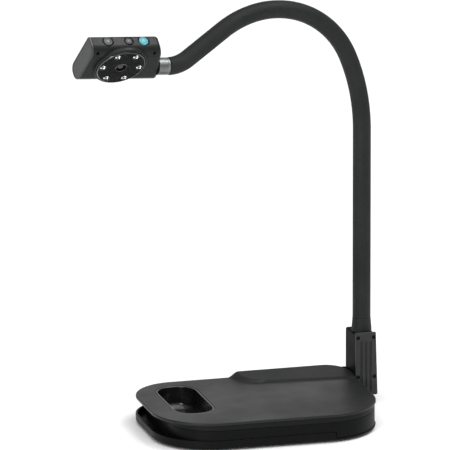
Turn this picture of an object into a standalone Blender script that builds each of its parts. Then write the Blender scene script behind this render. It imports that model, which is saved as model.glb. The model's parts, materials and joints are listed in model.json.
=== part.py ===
"""Gooseneck document camera: weighted base, folding arm bracket, flexible neck and camera head.

Metres, +Z up. The origin is the centre of the base tray's underside; +X runs along the base towards the
arm, +Y towards its back edge. Run with: blender --background --python part.py
"""

import math

import bmesh
import bpy
from mathutils import Matrix, Vector

GAP = 0.0003

# Base
BASE_LENGTH = 0.290
BASE_WIDTH = 0.198
BASE_TOP = 0.035
PLATE_THICKNESS = 0.004
PLATE_EDGE = 0.0010
FRONT_LEFT_RADIUS = 0.0745
BACK_LEFT_RADIUS = 0.058
FRONT_RIGHT_RADIUS = 0.075
BACK_RIGHT_RADIUS = 0.034
WALL_INSET = 0.0014
CHANNEL_DEPTH = 0.016
WALL = 0.003
SEAM_Z = 0.0242
TRAY_THICKNESS = 0.003
LIP_HEIGHT = 0.0115
LIP_THICKNESS = 0.0024
TRAY_CORNER = ((0.0040, 0.0), (0.0014, 0.0010), (0.0003, 0.0026), (0.0, 0.0042))
LIP_END_X = 0.070
LIP_SLOPE = 0.006
HANDLE = (-0.116, -0.063, -0.0475, 0.0790)
HANDLE_RADIUS = 0.025
WELL_WALL = 0.002
WELL_FLOOR = 0.0022
HUMP_FOOT = (-0.0125, 0.0585, 0.038, 0.124)
HUMP_TOP = (0.0020, 0.0655, 0.028, 0.069)
HUMP_MIDDLE_X = 0.044
HUMP_FRONT_HEIGHT = 0.0027
HUMP_HEIGHT = 0.0076
FOOT_RADIUS = 0.008
FOOT_DROP = 0.002
FOOT_PLACES = ((-0.092, -0.066), (-0.072, 0.088), (0.105, -0.062), (0.095, 0.060))
BASE_SCREW_PLACES = ((-0.045, -0.080), (-0.045, 0.082), (0.085, -0.078), (0.030, 0.082))

SOCKET_X = 0.052

# Folding hinge at the base's back right corner
HINGE_Y = 0.0844
HINGE_Z = 0.028
KNUCKLE_RADIUS = 0.0135
WASHER_RADIUS = 0.0075
BARREL_RADIUS = 0.008
SHAFT_RADIUS = 0.004
KNUCKLE_X = (0.1160, 0.1435)

# Arm bracket
BRACKET_X = (0.1453, 0.1721)
BRACKET_Y = (0.061, 0.108)
BRACKET_Z = (0.0075, 0.0875)
BRACKET_TAPER = 0.0022
BRACKET_WALL = 0.0025
COVER_THICKNESS = 0.0028
COVER_TOP = 0.0910
COVER_SEAT_DEPTH = 0.0016
GROOVE_WIDTH = 0.0022
GROOVE_DEPTH = 0.0014
GROOVE_TOP = 0.083
GROOVE_PLACES = (0.1530, 0.1589, 0.1648)

# Gooseneck: upright, two bends over, a straight fall and one bend back, in one upright plane
NECK_RADIUS = 0.0114
NECK_BORE = 0.0072
CORE_RADIUS = 0.0052
BALL_RADIUS = 0.0045
BALL_PLAY = 0.0006
NECK_X = 0.1595
NECK_Y = HINGE_Y
NECK_YAW = math.radians(10.3)
NECK_START_Z = 0.106
UPRIGHT_TOP_Z = 0.3497
NECK_BENDS = (
    ("arc", 0.251, -23.0),
    ("arc", 0.119, -99.5),
    ("line", 0.058, 0.0),
    ("arc", 0.044, 38.5),
)
LINKS = 7
LINK_GAP = 0.0030
END_RING = 0.003
DEGREES_PER_STEP = 7.0

# Camera head, in its own frame: x to the neck, y to the buttons, z out of the lens
HEAD_ROLL = math.radians(130.0)
COLLAR_LENGTH = 0.0155
COLLAR_RADIUS = 0.0110
PIN_REACH = 0.021
HEAD_SOCKET = Vector((0.0590, -0.016, -0.01375))
HEAD_FRONT = 0.028
HEAD_BACK = -0.0365
HEAD_UNDERSIDE = -0.0046
HEAD_TOP = -0.0295
HEAD_RADII = (0.0110, 0.0035, 0.0125, 0.0110)
HEAD_LEFT = -0.0475
HEAD_RIGHT = 0.0555
HEAD_SKEW = 0.24
HEAD_WALL = 0.0022
CAP_THICKNESS = 0.0032
DISC_RADIUS = 0.0315
DISC_DEPTH = 0.0095
SHOULDER_RADIUS = 0.0340
SHOULDER_FOOT_RADIUS = 0.0382
LED_CIRCLE = 0.0248
LED_RADIUS = 0.0034
LENS_RADIUS = 0.0062
BUTTON_Z = -0.0212
BUTTONS = (
    ("lamp_button", -0.0226, 0.0067),
    ("focus_button", 0.0063, 0.0056),
    ("capture_button", 0.0267, 0.0070),
)
BUTTON_TRAVEL = 0.0008
HEAD_SCREW_PLACES = ((-0.0385, 0.0218), (0.0400, 0.0216))
HEAD_SCREW_TOP = -0.0082


def clear_scene():
    for item in list(bpy.data.objects):
        bpy.data.objects.remove(item, do_unlink=True)


def new_collection(name):
    collection = bpy.data.collections.new(name)
    bpy.context.scene.collection.children.link(collection)
    return collection


clear_scene()
PARTS = new_collection("document_camera")
CUTTERS = new_collection("cutters")


def material(name, colour, roughness, metallic=0.0):
    made = bpy.data.materials.get(name)
    if made is None:
        made = bpy.data.materials.new(name)
        made.use_nodes = True
        shader = made.node_tree.nodes["Principled BSDF"]
        shader.inputs["Base Color"].default_value = (*colour, 1.0)
        shader.inputs["Roughness"].default_value = roughness
        shader.inputs["Metallic"].default_value = metallic
    return made


def case_plastic():
    return material("case_plastic", (0.032, 0.033, 0.034), 0.5)


def dark_gloss():
    return material("dark_gloss", (0.012, 0.012, 0.013), 0.18)


def neck_rubber():
    return material("neck_rubber", (0.022, 0.023, 0.024), 0.75)


def foot_rubber():
    return material("foot_rubber", (0.02, 0.02, 0.02), 0.9)


def screw_steel():
    return material("screw_steel", (0.03, 0.03, 0.032), 0.35, 0.9)


def bare_steel():
    return material("bare_steel", (0.55, 0.55, 0.56), 0.3, 1.0)


def board_green():
    return material("board_green", (0.02, 0.12, 0.05), 0.5)


def cap_grey():
    return material("cap_grey", (0.16, 0.165, 0.17), 0.4)


def button_grey():
    return material("button_grey", (0.2, 0.21, 0.22), 0.45)


def button_teal():
    return material("button_teal", (0.08, 0.5, 0.58), 0.4)


def led_clear():
    return material("led_clear", (0.85, 0.86, 0.85), 0.08)


def lens_glass():
    return material("lens_glass", (0.01, 0.01, 0.02), 0.03)


def mesh_object(name, mesh, group=PARTS, look=None):
    made = bpy.data.objects.new(name, mesh)
    group.objects.link(made)
    if look is not None:
        mesh.materials.clear()
        mesh.materials.append(look)
    if group is CUTTERS:
        made.hide_render = True
        made.display_type = "WIRE"
    return made


def mesh_from_curve(made, keep_open=False):
    """Swaps a curve object for a welded mesh in world space."""
    bpy.context.view_layer.update()
    evaluated = made.evaluated_get(bpy.context.evaluated_depsgraph_get())
    mesh = bpy.data.meshes.new_from_object(evaluated)
    mesh.transform(made.matrix_world)
    curve = made.data
    bpy.data.objects.remove(made, do_unlink=True)
    bpy.data.curves.remove(curve)
    work = bmesh.new()
    work.from_mesh(mesh)
    bmesh.ops.remove_doubles(work, verts=work.verts, dist=0.00001)
    if not keep_open:
        bmesh.ops.recalc_face_normals(work, faces=work.faces)
    work.to_mesh(mesh)
    work.free()
    return mesh


def smooth(made, angle=35.0):
    made.data.shade_smooth()
    made.data.set_sharp_from_angle(angle=math.radians(angle))
    return made


def rounded_box_outline(x0, x1, y0, y1, radii, steps=7):
    """Corners run front left, front right, back right, back left, each an arc of its own radius."""
    corners = ((x0, y0, 180.0), (x1, y0, 270.0), (x1, y1, 0.0), (x0, y1, 90.0))
    points = []
    for (x, y, start), radius in zip(corners, radii):
        centre_x = x + radius if x == x0 else x - radius
        centre_y = y + radius if y == y0 else y - radius
        for step in range(steps + 1):
            angle = math.radians(start + 90.0 * step / steps)
            points.append((centre_x + radius * math.cos(angle), centre_y + radius * math.sin(angle)))
    return points


def plate(name, outlines, low, high, look=None, edge=0.0, along="Z", group=PARTS):
    """A flat solid between two heights; outlines after the first are holes. Along X, outlines are (y, z)."""
    curve = bpy.data.curves.new(name, "CURVE")
    curve.dimensions = "2D"
    curve.fill_mode = "BOTH"
    curve.extrude = (high - low) / 2 - edge
    curve.bevel_depth = edge
    curve.bevel_resolution = 0
    curve.offset = -edge
    for points in outlines:
        spline = curve.splines.new("POLY")
        spline.points.add(len(points) - 1)
        for point, (x, y) in zip(spline.points, points):
            point.co = (x, y, 0.0, 1.0)
        spline.use_cyclic_u = True
    made = bpy.data.objects.new(name, curve)
    group.objects.link(made)
    middle = (low + high) / 2
    if along == "X":
        turn = Matrix(((0, 0, 1), (1, 0, 0), (0, 1, 0))).to_4x4()
        made.matrix_world = Matrix.Translation((middle, 0, 0)) @ turn
    else:
        made.matrix_world = Matrix.Translation((0, 0, middle))
    return mesh_object(name, mesh_from_curve(made), group, look)


def block(name, low, high, look=None, group=PARTS):
    size = Vector(high) - Vector(low)
    middle = (Vector(high) + Vector(low)) / 2
    work = bmesh.new()
    bmesh.ops.create_cube(work, size=1.0)
    bmesh.ops.scale(work, vec=size, verts=work.verts)
    bmesh.ops.translate(work, vec=middle, verts=work.verts)
    mesh = bpy.data.meshes.new(name)
    work.to_mesh(mesh)
    work.free()
    return mesh_object(name, mesh, group, look)


def rod(name, start, end, radius, look=None, sides=20, group=PARTS, end_radius=None):
    start = Vector(start)
    end = Vector(end)
    work = bmesh.new()
    top = radius if end_radius is None else end_radius
    span = end - start
    bmesh.ops.create_cone(
        work, cap_ends=True, segments=sides, radius1=radius, radius2=top, depth=span.length
    )
    turn = span.to_track_quat("Z", "Y").to_matrix().to_4x4()
    bmesh.ops.transform(work, matrix=Matrix.Translation((start + end) / 2) @ turn, verts=work.verts)
    mesh = bpy.data.meshes.new(name)
    work.to_mesh(mesh)
    work.free()
    made = mesh_object(name, mesh, group, look)
    return smooth(made)


def ball(name, centre, radius, look=None, group=PARTS, sides=14, rings=8):
    work = bmesh.new()
    bmesh.ops.create_uvsphere(work, u_segments=sides, v_segments=rings, radius=radius)
    bmesh.ops.translate(work, vec=centre, verts=work.verts)
    mesh = bpy.data.meshes.new(name)
    work.to_mesh(mesh)
    work.free()
    return mesh_object(name, mesh, group, look)


def turned(name, profile, look, frame, sides=24):
    """Turns (radius, height) points about the frame's Z axis; the profile runs down its outer side."""
    mesh = bpy.data.meshes.new(name)
    points = [(radius, 0.0, height) for radius, height in profile]
    closed = profile[0][0] > 1e-6
    edges = [(index, index + 1) for index in range(len(points) - 1)]
    if closed:
        edges.append((len(points) - 1, 0))
    mesh.from_pydata(points, edges, [])
    made = mesh_object(name, mesh, PARTS, look)
    made.matrix_world = frame
    screw = made.modifiers.new("turn", "SCREW")
    screw.steps = sides
    screw.render_steps = sides
    screw.use_merge_vertices = True
    screw.merge_threshold = 0.00001
    screw.use_smooth_shade = False
    return apply_modifiers(made)


def apply_modifiers(made):
    bpy.context.view_layer.update()
    evaluated = made.evaluated_get(bpy.context.evaluated_depsgraph_get())
    mesh = bpy.data.meshes.new_from_object(evaluated)
    made.modifiers.clear()
    made.data = mesh
    return made


def cut(made, *cutters, operation="DIFFERENCE"):
    for cutter in cutters:
        boolean = made.modifiers.new(cutter.name, "BOOLEAN")
        boolean.operation = operation
        boolean.object = cutter
        boolean.solver = "EXACT"
        if operation == "UNION":
            apply_modifiers(made)
            bpy.data.objects.remove(cutter, do_unlink=True)
    return made


def join(made, *others):
    return cut(made, *others, operation="UNION")


def base_outline(inset=0.0, left=0.0):
    """The base's plan, moved in all round by inset and at its left end by left."""
    half_x = BASE_LENGTH / 2 - inset
    half_y = BASE_WIDTH / 2 - inset
    radii = (
        FRONT_LEFT_RADIUS - inset - left,
        FRONT_RIGHT_RADIUS - inset,
        BACK_RIGHT_RADIUS - inset,
        BACK_LEFT_RADIUS - inset - left,
    )
    return rounded_box_outline(-half_x + left, half_x, -half_y, half_y, radii, 6)


def handle_outline(grow=0.0):
    x0, x1, y0, y1 = HANDLE
    radius = HANDLE_RADIUS + grow
    return rounded_box_outline(x0 - grow, x1 + grow, y0 - grow, y1 + grow, (radius,) * 4, 4)


def screw_hole(name, x, y, low, high, radius):
    return rod(name, (x, y, low), (x, y, high), radius, sides=12, group=CUTTERS)


def knuckle_cutter():
    return rod(
        "barrel_space", (0.098, HINGE_Y, HINGE_Z), (0.150, HINGE_Y, HINGE_Z),
        BARREL_RADIUS + GAP, sides=20, group=CUTTERS,
    )


def nut_cutter():
    return rod(
        "nut_space", (0.086, HINGE_Y, HINGE_Z), (0.099, HINGE_Y, HINGE_Z), 0.0092, sides=20, group=CUTTERS
    )


def loft(name, rings, look=None, group=PARTS):
    """Joins outlines of equal point counts, each a list of (x, y, z) points, from the lowest up."""
    work = bmesh.new()
    rows = [[work.verts.new(point) for point in ring] for ring in rings]
    work.faces.new(list(reversed(rows[0])))
    work.faces.new(rows[-1])
    count = len(rows[0])
    for lower, upper in zip(rows, rows[1:]):
        for index in range(count):
            after = (index + 1) % count
            work.faces.new((lower[index], lower[after], upper[after], upper[index]))
    bmesh.ops.recalc_face_normals(work, faces=work.faces)
    mesh = bpy.data.meshes.new(name)
    work.to_mesh(mesh)
    work.free()
    return mesh_object(name, mesh, group, look)


def at_height(outline, height):
    return [(x, y, height) for x, y in outline]


def make_tray():
    levels = TRAY_CORNER + ((0.0, LIP_HEIGHT - 0.0006), (0.0006, LIP_HEIGHT))
    tray = loft("base_tray", [at_height(base_outline(inset), z) for inset, z in levels], case_plastic())
    space = plate("tray_space", [base_outline(LIP_THICKNESS)], TRAY_THICKNESS, 0.03, group=CUTTERS)
    stop = block("lip_end", (LIP_END_X, -0.2, TRAY_THICKNESS), (0.2, 0.2, 0.03), group=CUTTERS)
    for vertex in stop.data.vertices:
        if vertex.co.x < 0.1 and vertex.co.z < 0.02:
            vertex.co.x += LIP_SLOPE
    notch = block(
        "socket_notch", (SOCKET_X - 0.010, 0.09, TRAY_THICKNESS + 0.0008),
        (SOCKET_X + 0.010, 0.11, 0.03), group=CUTTERS,
    )
    cut(tray, space, stop, notch)
    for index, (x, y) in enumerate(FOOT_PLACES):
        cut(tray, screw_hole(f"foot_seat_{index}", x, y, -0.01, 0.0010, FOOT_RADIUS + GAP))
    for index, (x, y) in enumerate(BASE_SCREW_PLACES):
        cut(tray, screw_hole(f"tray_screw_{index}", x, y, -0.01, 0.01, 0.0018))
        cut(tray, screw_hole(f"tray_head_{index}", x, y, -0.01, 0.0018, 0.0036))
    return tray


def make_lower_shell():
    low = TRAY_THICKNESS + GAP
    shell = plate(
        "lower_shell", [base_outline(WALL_INSET, CHANNEL_DEPTH)], low, SEAM_Z, case_plastic()
    )
    inside = base_outline(WALL_INSET + WALL, CHANNEL_DEPTH)
    space = plate("lower_space", [inside], low + 0.0025, 0.05, group=CUTTERS)
    well = plate("well_wall", [handle_outline(0.003), handle_outline(GAP)], low, SEAM_Z)
    cut(shell, space, plate("lower_hand_hole", [handle_outline(GAP)], -0.01, 0.05, group=CUTTERS))
    apply_modifiers(shell)
    join(shell, well)
    for index, (x, y) in enumerate(BASE_SCREW_PLACES):
        join(shell, rod(f"boss_{index}", (x, y, low + 0.001), (x, y, 0.014), 0.0042, sides=12))
        cut(shell, screw_hole(f"shell_screw_{index}", x, y, -0.01, 0.0125, 0.0018))
    outer = rounded_box_outline(-0.2, 0.2, -0.15, 0.15, (0.01,) * 4, 1)
    rebate = plate(
        "lip_rebate", [outer, base_outline(LIP_THICKNESS + GAP)], -0.01, LIP_HEIGHT + GAP, group=CUTTERS
    )
    end = block("rebate_end", (-0.3, -0.3, -0.02), (LIP_END_X + LIP_SLOPE + GAP, 0.3, 0.03), group=CUTTERS)
    trim = rebate.modifiers.new("rebate_end", "BOOLEAN")
    trim.operation = "INTERSECT"
    trim.object = end
    cut(shell, rebate, knuckle_cutter(), nut_cutter(), socket_cutter())
    return shell


def hump_height(y):
    """The hump's top falls towards its front edge."""
    share = (y - HUMP_TOP[1]) / (BASE_WIDTH / 2 - HUMP_TOP[1])
    return BASE_TOP + HUMP_FRONT_HEIGHT + (HUMP_HEIGHT - HUMP_FRONT_HEIGHT) * share


def hump_outline(place):
    """The hump's plan at its foot or its top; its front edge comes forward towards the arm."""
    left, front, radius, lean = place
    back = BASE_WIDTH / 2 + 0.002
    box = rounded_box_outline(left, BASE_LENGTH / 2 + 0.002, front, back, (radius, 0.001, 0.001, 0.001), 7)
    return [(x, y - lean * (x - HUMP_MIDDLE_X) * (back - y) / (back - front)) for x, y in box]


def make_upper_shell():
    plate_low = BASE_TOP - PLATE_THICKNESS
    shell = plate("upper_shell", [base_outline()], plate_low, BASE_TOP, case_plastic(), PLATE_EDGE)
    foot = hump_outline(HUMP_FOOT)
    top = [(x, y, hump_height(y)) for x, y in hump_outline(HUMP_TOP)]
    hump = loft("hump", [at_height(foot, BASE_TOP - 0.002), at_height(foot, BASE_TOP), top])
    bounds = plate("hump_bounds", [base_outline(PLATE_EDGE + 0.0006)], 0.0, 0.06, group=CUTTERS)
    keep = hump.modifiers.new("inside_plan", "BOOLEAN")
    keep.operation = "INTERSECT"
    keep.object = bounds
    apply_modifiers(hump)
    skirt = [base_outline(WALL_INSET, CHANNEL_DEPTH), base_outline(WALL_INSET + WALL, CHANNEL_DEPTH)]
    walls = plate("skirt", skirt, SEAM_Z + GAP, plate_low + 0.0021, case_plastic())
    join(walls, hump)
    join(shell, walls)
    pocket_plan = rounded_box_outline(0.012, 0.088, 0.064, 0.089, (0.008,) * 4, 3)
    pocket = plate("hump_pocket", [pocket_plan], 0.02, BASE_TOP, group=CUTTERS)
    hole = plate("top_hand_hole", [handle_outline(GAP)], 0.0, 0.06, group=CUTTERS)
    cut(shell, pocket, hole, knuckle_cutter(), nut_cutter())
    return shell


def make_handle_well():
    low = TRAY_THICKNESS + GAP
    well = plate("handle_well", [handle_outline()], low, BASE_TOP - 0.0004, dark_gloss(), 0.0006)
    space = plate("well_space", [handle_outline(-WELL_WALL)], low + WELL_FLOOR, 0.06, group=CUTTERS)
    return cut(well, space)


def make_ballast():
    plan = rounded_box_outline(-0.030, 0.125, -0.066, 0.040, (0.012,) * 4, 3)
    return plate("ballast_plate", [plan], 0.0062, 0.0162, bare_steel())


def make_main_board():
    board = plate(
        "main_board", [rounded_box_outline(-0.010, 0.090, 0.046, 0.089, (0.002,) * 4, 1)],
        0.0182, 0.0198, board_green(),
    )
    chips = (
        (0.010, 0.055, 0.024, 0.069, 0.0013),
        (0.040, 0.052, 0.050, 0.060, 0.0010),
        (0.066, 0.050, 0.080, 0.058, 0.0020),
    )
    for index, (x0, y0, x1, y1, height) in enumerate(chips):
        join(board, block(f"chip_{index}", (x0, y0, 0.0190), (x1, y1, 0.0198 + height)))
    return board


def socket_cutter():
    return block(
        "socket_space", (SOCKET_X - 0.0063, 0.080, 0.0065), (SOCKET_X + 0.0063, 0.12, 0.0176), group=CUTTERS
    )


def make_usb_socket():
    socket = block(
        "usb_socket", (SOCKET_X - 0.006, 0.0822, 0.0068), (SOCKET_X + 0.006, 0.0970, 0.0173), bare_steel()
    )
    mouth = block(
        "socket_mouth", (SOCKET_X - 0.0044, 0.0860, 0.0083), (SOCKET_X + 0.0044, 0.11, 0.0158), group=CUTTERS
    )
    return cut(socket, mouth)


def make_feet():
    for index, (x, y) in enumerate(FOOT_PLACES):
        look = foot_rubber()
        made = rod(f"foot_{index + 1}", (x, y, -FOOT_DROP), (x, y, 0.0010 - GAP), FOOT_RADIUS, look, 20)
        bevel = made.modifiers.new("edge", "BEVEL")
        bevel.width = 0.0005
        bevel.segments = 1
        bevel.limit_method = "ANGLE"


def make_base_screws():
    for index, (x, y) in enumerate(BASE_SCREW_PLACES):
        profile = (
            (0.0, 0.012), (0.0015, 0.012), (0.0015, 0.0015),
            (0.0033, 0.0015), (0.0033, 0.0004), (0.0, 0.0004),
        )
        turned(f"base_screw_{index + 1}", profile, screw_steel(), Matrix.Translation((x, y, 0)), 10)


def make_knuckle():
    disc_low, disc_high = KNUCKLE_X
    knuckle = rod(
        "hinge_knuckle", (disc_low, HINGE_Y, HINGE_Z), (disc_high, HINGE_Y, HINGE_Z),
        KNUCKLE_RADIUS, case_plastic(), 28,
    )
    base_space = plate("base_space", [base_outline(-GAP)], -0.01, 0.06, group=CUTTERS)
    cut(knuckle, base_space)
    apply_modifiers(knuckle)
    barrel = rod(
        "barrel", (0.100, HINGE_Y, HINGE_Z), (disc_high - 0.001, HINGE_Y, HINGE_Z), BARREL_RADIUS, sides=20
    )
    join(knuckle, barrel)
    bore = rod(
        "knuckle_bore", (0.09, HINGE_Y, HINGE_Z), (0.16, HINGE_Y, HINGE_Z),
        SHAFT_RADIUS + GAP, sides=16, group=CUTTERS,
    )
    return cut(knuckle, bore)


def along_x(x):
    """A frame at the hinge axis whose Z axis points along world X."""
    turn = Matrix(((0, 0, 1), (1, 0, 0), (0, 1, 0))).to_4x4()
    return Matrix.Translation((x, HINGE_Y, HINGE_Z)) @ turn


def ring_profile(outer, inner, height):
    return ((outer, height), (outer, 0.0), (inner, 0.0), (inner, height))


def make_hinge_hardware():
    washer_x = KNUCKLE_X[1] + GAP
    profile = ring_profile(WASHER_RADIUS, SHAFT_RADIUS + GAP, 0.0010)
    turned("friction_washer", profile, bare_steel(), along_x(washer_x), 24)
    rod(
        "hinge_shaft", (0.088, HINGE_Y, HINGE_Z), (0.166, HINGE_Y, HINGE_Z), SHAFT_RADIUS, bare_steel(), 16
    )
    nut_bore = (SHAFT_RADIUS + GAP) / math.cos(math.radians(30.0))
    turned("hinge_nut", ring_profile(0.0078, nut_bore, 0.006), bare_steel(), along_x(0.0915), 6)


def taper(made):
    """Widens the bracket away from the base, towards its foot."""
    low, high = BRACKET_Z
    middle = (BRACKET_X[0] + BRACKET_X[1]) / 2
    for vertex in made.data.vertices:
        share = 1.0 - (vertex.co.z - low) / (high - low)
        if vertex.co.x > middle:
            vertex.co.x += BRACKET_TAPER * share
    return made


def bracket_outline(y0, y1, z0, z1, foot):
    return rounded_box_outline(y0, y1, z0, z1, (foot, foot, 0.004, 0.0015), 4)


def cover_screw_places():
    left = BRACKET_X[0] + 0.0034
    right = BRACKET_X[1] - 0.0030
    return ((left, 0.0843), (right, 0.0843), (left, 0.0330), (right + 0.0010, 0.0330))


def make_bracket():
    y0 = BRACKET_Y[0] + COVER_THICKNESS + GAP
    y1 = BRACKET_Y[1]
    z0, z1 = BRACKET_Z
    shell = plate(
        "bracket_shell", [bracket_outline(y0, y1, z0, z1, 0.013)], *BRACKET_X, case_plastic(), 0.0012, "X"
    )
    taper(shell)
    hollow = block(
        "bracket_space", (BRACKET_X[0] + BRACKET_WALL, y0 + 0.009, HINGE_Z + 0.012),
        (BRACKET_X[1] - BRACKET_WALL, y1 - BRACKET_WALL, z1 - 0.010), group=CUTTERS,
    )
    service = block(
        "bracket_mouth", (BRACKET_X[0] + 0.007, y0 - 0.01, HINGE_Z + 0.026),
        (BRACKET_X[1] - 0.007, y1 - 0.02, z1 - 0.022), group=CUTTERS,
    )
    shaft = rod(
        "bracket_bore", (0.14, HINGE_Y, HINGE_Z), (0.1665, HINGE_Y, HINGE_Z), SHAFT_RADIUS + GAP,
        sides=16, group=CUTTERS,
    )
    core = rod(
        "core_space", (NECK_X, NECK_Y, 0.05), (NECK_X, NECK_Y, 0.11), CORE_RADIUS + GAP,
        sides=12, group=CUTTERS,
    )
    cut(shell, hollow, service, shaft, core)
    make_cover(shell)


def make_cover(shell):
    plan = rounded_box_outline(*BRACKET_X, BRACKET_Z[0] + 0.0015, COVER_TOP, (0.0015,) * 4, 2)
    cover = plate("bracket_cover", [plan], 0.0, COVER_THICKNESS, case_plastic(), 0.0008)
    stand = Matrix(((1, 0, 0), (0, 0, 1), (0, 1, 0))).to_4x4()
    front = BRACKET_Y[0]
    cover.data.transform(Matrix.Translation((0, front, 0)) @ stand)
    cover.data.flip_normals()
    taper(cover)
    for index, x in enumerate(GROOVE_PLACES):
        groove = block(
            f"groove_{index}", (x - GROOVE_WIDTH / 2, front - 0.01, 0.0),
            (x + GROOVE_WIDTH / 2, front + GROOVE_DEPTH, GROOVE_TOP), group=CUTTERS,
        )
        cut(cover, groove)
    for index, (x, z) in enumerate(cover_screw_places()):
        for made, name in ((cover, "cover"), (shell, "shell")):
            hole = rod(
                f"{name}_screw_hole_{index}", (x, front - 0.01, z), (x, front + 0.0100, z), 0.0015,
                sides=10, group=CUTTERS,
            )
            cut(made, hole)
        seat = rod(
            f"screw_seat_{index}", (x, front - 0.01, z), (x, front + COVER_SEAT_DEPTH, z), 0.0026,
            sides=12, group=CUTTERS,
        )
        cut(cover, seat)
        make_cover_screw(index, x, z)


def make_cover_screw(index, x, z):
    """A pan head in its seat, with its shaft in the bracket."""
    frame = Matrix.Translation((x, BRACKET_Y[0] + COVER_SEAT_DEPTH, z))
    profile = (
        (0.0, 0.0011), (0.0022, 0.0011), (0.0022, GAP),
        (0.0012, GAP), (0.0012, -0.0075), (0.0, -0.0075),
    )
    turn = Matrix.Rotation(math.radians(90), 4, "X")
    turned(f"cover_screw_{index + 1}", profile, screw_steel(), frame @ turn, 10)


def make_neck_boot():
    low = BRACKET_Z[1] + GAP
    high = NECK_START_Z - GAP
    flare = NECK_RADIUS + 0.0014
    bore = CORE_RADIUS + 0.0008
    profile = (
        (NECK_RADIUS + 0.0001, high), (NECK_RADIUS + 0.0006, high - 0.008), (flare, low + 0.002),
        (flare, low), (bore, low), (bore, high),
    )
    shifted = tuple((radius, height - low) for radius, height in profile)
    turned("neck_boot", shifted, neck_rubber(), Matrix.Translation((NECK_X, NECK_Y, low)), 20)


def neck_direction(heading):
    """A unit vector in the neck's plane; heading 90 degrees is straight up."""
    level = math.cos(math.radians(heading))
    return Vector((-math.cos(NECK_YAW) * level, -math.sin(NECK_YAW) * level, math.sin(math.radians(heading))))


def neck_pieces():
    pieces = [("line", UPRIGHT_TOP_Z - NECK_START_Z, 0.0)]
    for kind, size, turn in NECK_BENDS:
        length = size if kind == "line" else size * math.radians(abs(turn))
        pieces.append((kind, length, turn))
    return pieces


NECK_LENGTH = sum(length for kind, length, turn in neck_pieces())


def neck_point(distance):
    """The centreline's place and heading at a distance from the neck's foot."""
    place = Vector((NECK_X, NECK_Y, NECK_START_Z))
    heading = 90.0
    left = distance
    for kind, length, turn in neck_pieces():
        part = min(left, length)
        if kind == "line" or part <= 0.0:
            place = place + neck_direction(heading) * part
        else:
            swept = turn * part / length
            chord = 2.0 * length / math.radians(abs(turn)) * math.sin(math.radians(abs(swept)) / 2.0)
            place = place + neck_direction(heading + swept / 2.0) * chord
            heading += swept
        left -= part
        if left <= 0.0:
            break
    return place + neck_direction(heading) * max(left, 0.0), heading


def tube_along(name, stations, look, resolution, caps=True):
    """A tube through (place, radius) stations."""
    curve = bpy.data.curves.new(name, "CURVE")
    curve.dimensions = "3D"
    curve.bevel_depth = 1.0
    curve.bevel_resolution = resolution
    curve.use_fill_caps = caps
    spline = curve.splines.new("POLY")
    spline.points.add(len(stations) - 1)
    for point, (place, radius) in zip(spline.points, stations):
        point.co = (*place, 1.0)
        point.radius = radius
    made = bpy.data.objects.new(name, curve)
    PARTS.objects.link(made)
    return mesh_object(name, mesh_from_curve(made, not caps), PARTS, look)


def steps_between(first, last):
    """How many straight steps a stretch of neck needs: more where it bends more."""
    samples = 12
    headings = [neck_point(first + (last - first) * step / samples)[1] for step in range(samples + 1)]
    turning = sum(abs(after - before) for before, after in zip(headings, headings[1:]))
    return 1 + round(turning / DEGREES_PER_STEP)


def make_sleeve(index, start, end):
    first = start + (LINK_GAP if index > 0 else 0.0)
    last = end - LINK_GAP if index < LINKS - 1 else end - 3 * GAP
    steps = steps_between(first, last)
    span = last - first - 2 * END_RING
    distances = [first] + [first + END_RING + span * step / steps for step in range(steps + 1)] + [last]
    stations = [(neck_point(distance)[0], NECK_RADIUS) for distance in distances]
    made = tube_along(f"neck_sleeve_{index + 1}", stations, neck_rubber(), 4, caps=False)
    wall = made.modifiers.new("wall", "SOLIDIFY")
    wall.thickness = NECK_RADIUS - NECK_BORE
    wall.offset = -1.0
    return smooth(made)


def make_core(index, start, end):
    """A rod with a ball at its lower end and a cup at its upper end."""
    foot, heading = neck_point(start)
    aim = neck_direction(heading)
    stations = []
    if index == 0:
        stations.append((foot - aim * 0.030, CORE_RADIUS))
        stations.append((foot + aim * 0.008, CORE_RADIUS))
    else:
        for step in range(4):
            angle = math.radians(-75.0 + 40.0 * step)
            stations.append((foot + aim * BALL_RADIUS * math.sin(angle), BALL_RADIUS * math.cos(angle)))
        stations.append((foot + aim * 0.0058, 0.0026))
        stations.append((foot + aim * 0.0085, CORE_RADIUS))
    steps = steps_between(start, end) + 1
    top, top_heading = neck_point(end)
    for step in range(1, steps):
        place, _ = neck_point(start + 0.010 + (end - start - 0.022) * step / steps)
        stations.append((place, CORE_RADIUS))
    back = neck_direction(top_heading)
    last = index == LINKS - 1
    end_radius = CORE_RADIUS if last else CORE_RADIUS + 0.0012
    stations.append((top - back * 0.010, end_radius))
    stations.append((top + back * (PIN_REACH if last else -0.0002), end_radius))
    made = tube_along(f"neck_core_{index + 1}", stations, bare_steel(), 2)
    if not last:
        cup = ball(f"cup_{index + 1}", top, BALL_RADIUS + BALL_PLAY, group=CUTTERS, sides=12, rings=8)
        cut(made, cup)
    return made


def make_gooseneck():
    for index in range(LINKS):
        start = NECK_LENGTH * index / LINKS
        end = NECK_LENGTH * (index + 1) / LINKS
        make_sleeve(index, start, end)
        make_core(index, start, end)


def head_frame():
    """World placement of the head's own frame, found from the collar's end at the socket point."""
    neck_end, heading = neck_point(NECK_LENGTH)
    pitch = math.radians(heading)
    level = Matrix.Rotation(NECK_YAW, 4, "Z") @ Matrix.Rotation(pitch, 4, "Y")
    turn = level @ Matrix.Rotation(HEAD_ROLL, 4, "X")
    collar_end = neck_end + neck_direction(heading) * COLLAR_LENGTH
    return Matrix.Translation(collar_end - turn.to_3x3() @ HEAD_SOCKET) @ turn


HEAD = head_frame()


def place_on_head(*items):
    for item in items:
        item.data.transform(HEAD)


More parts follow.
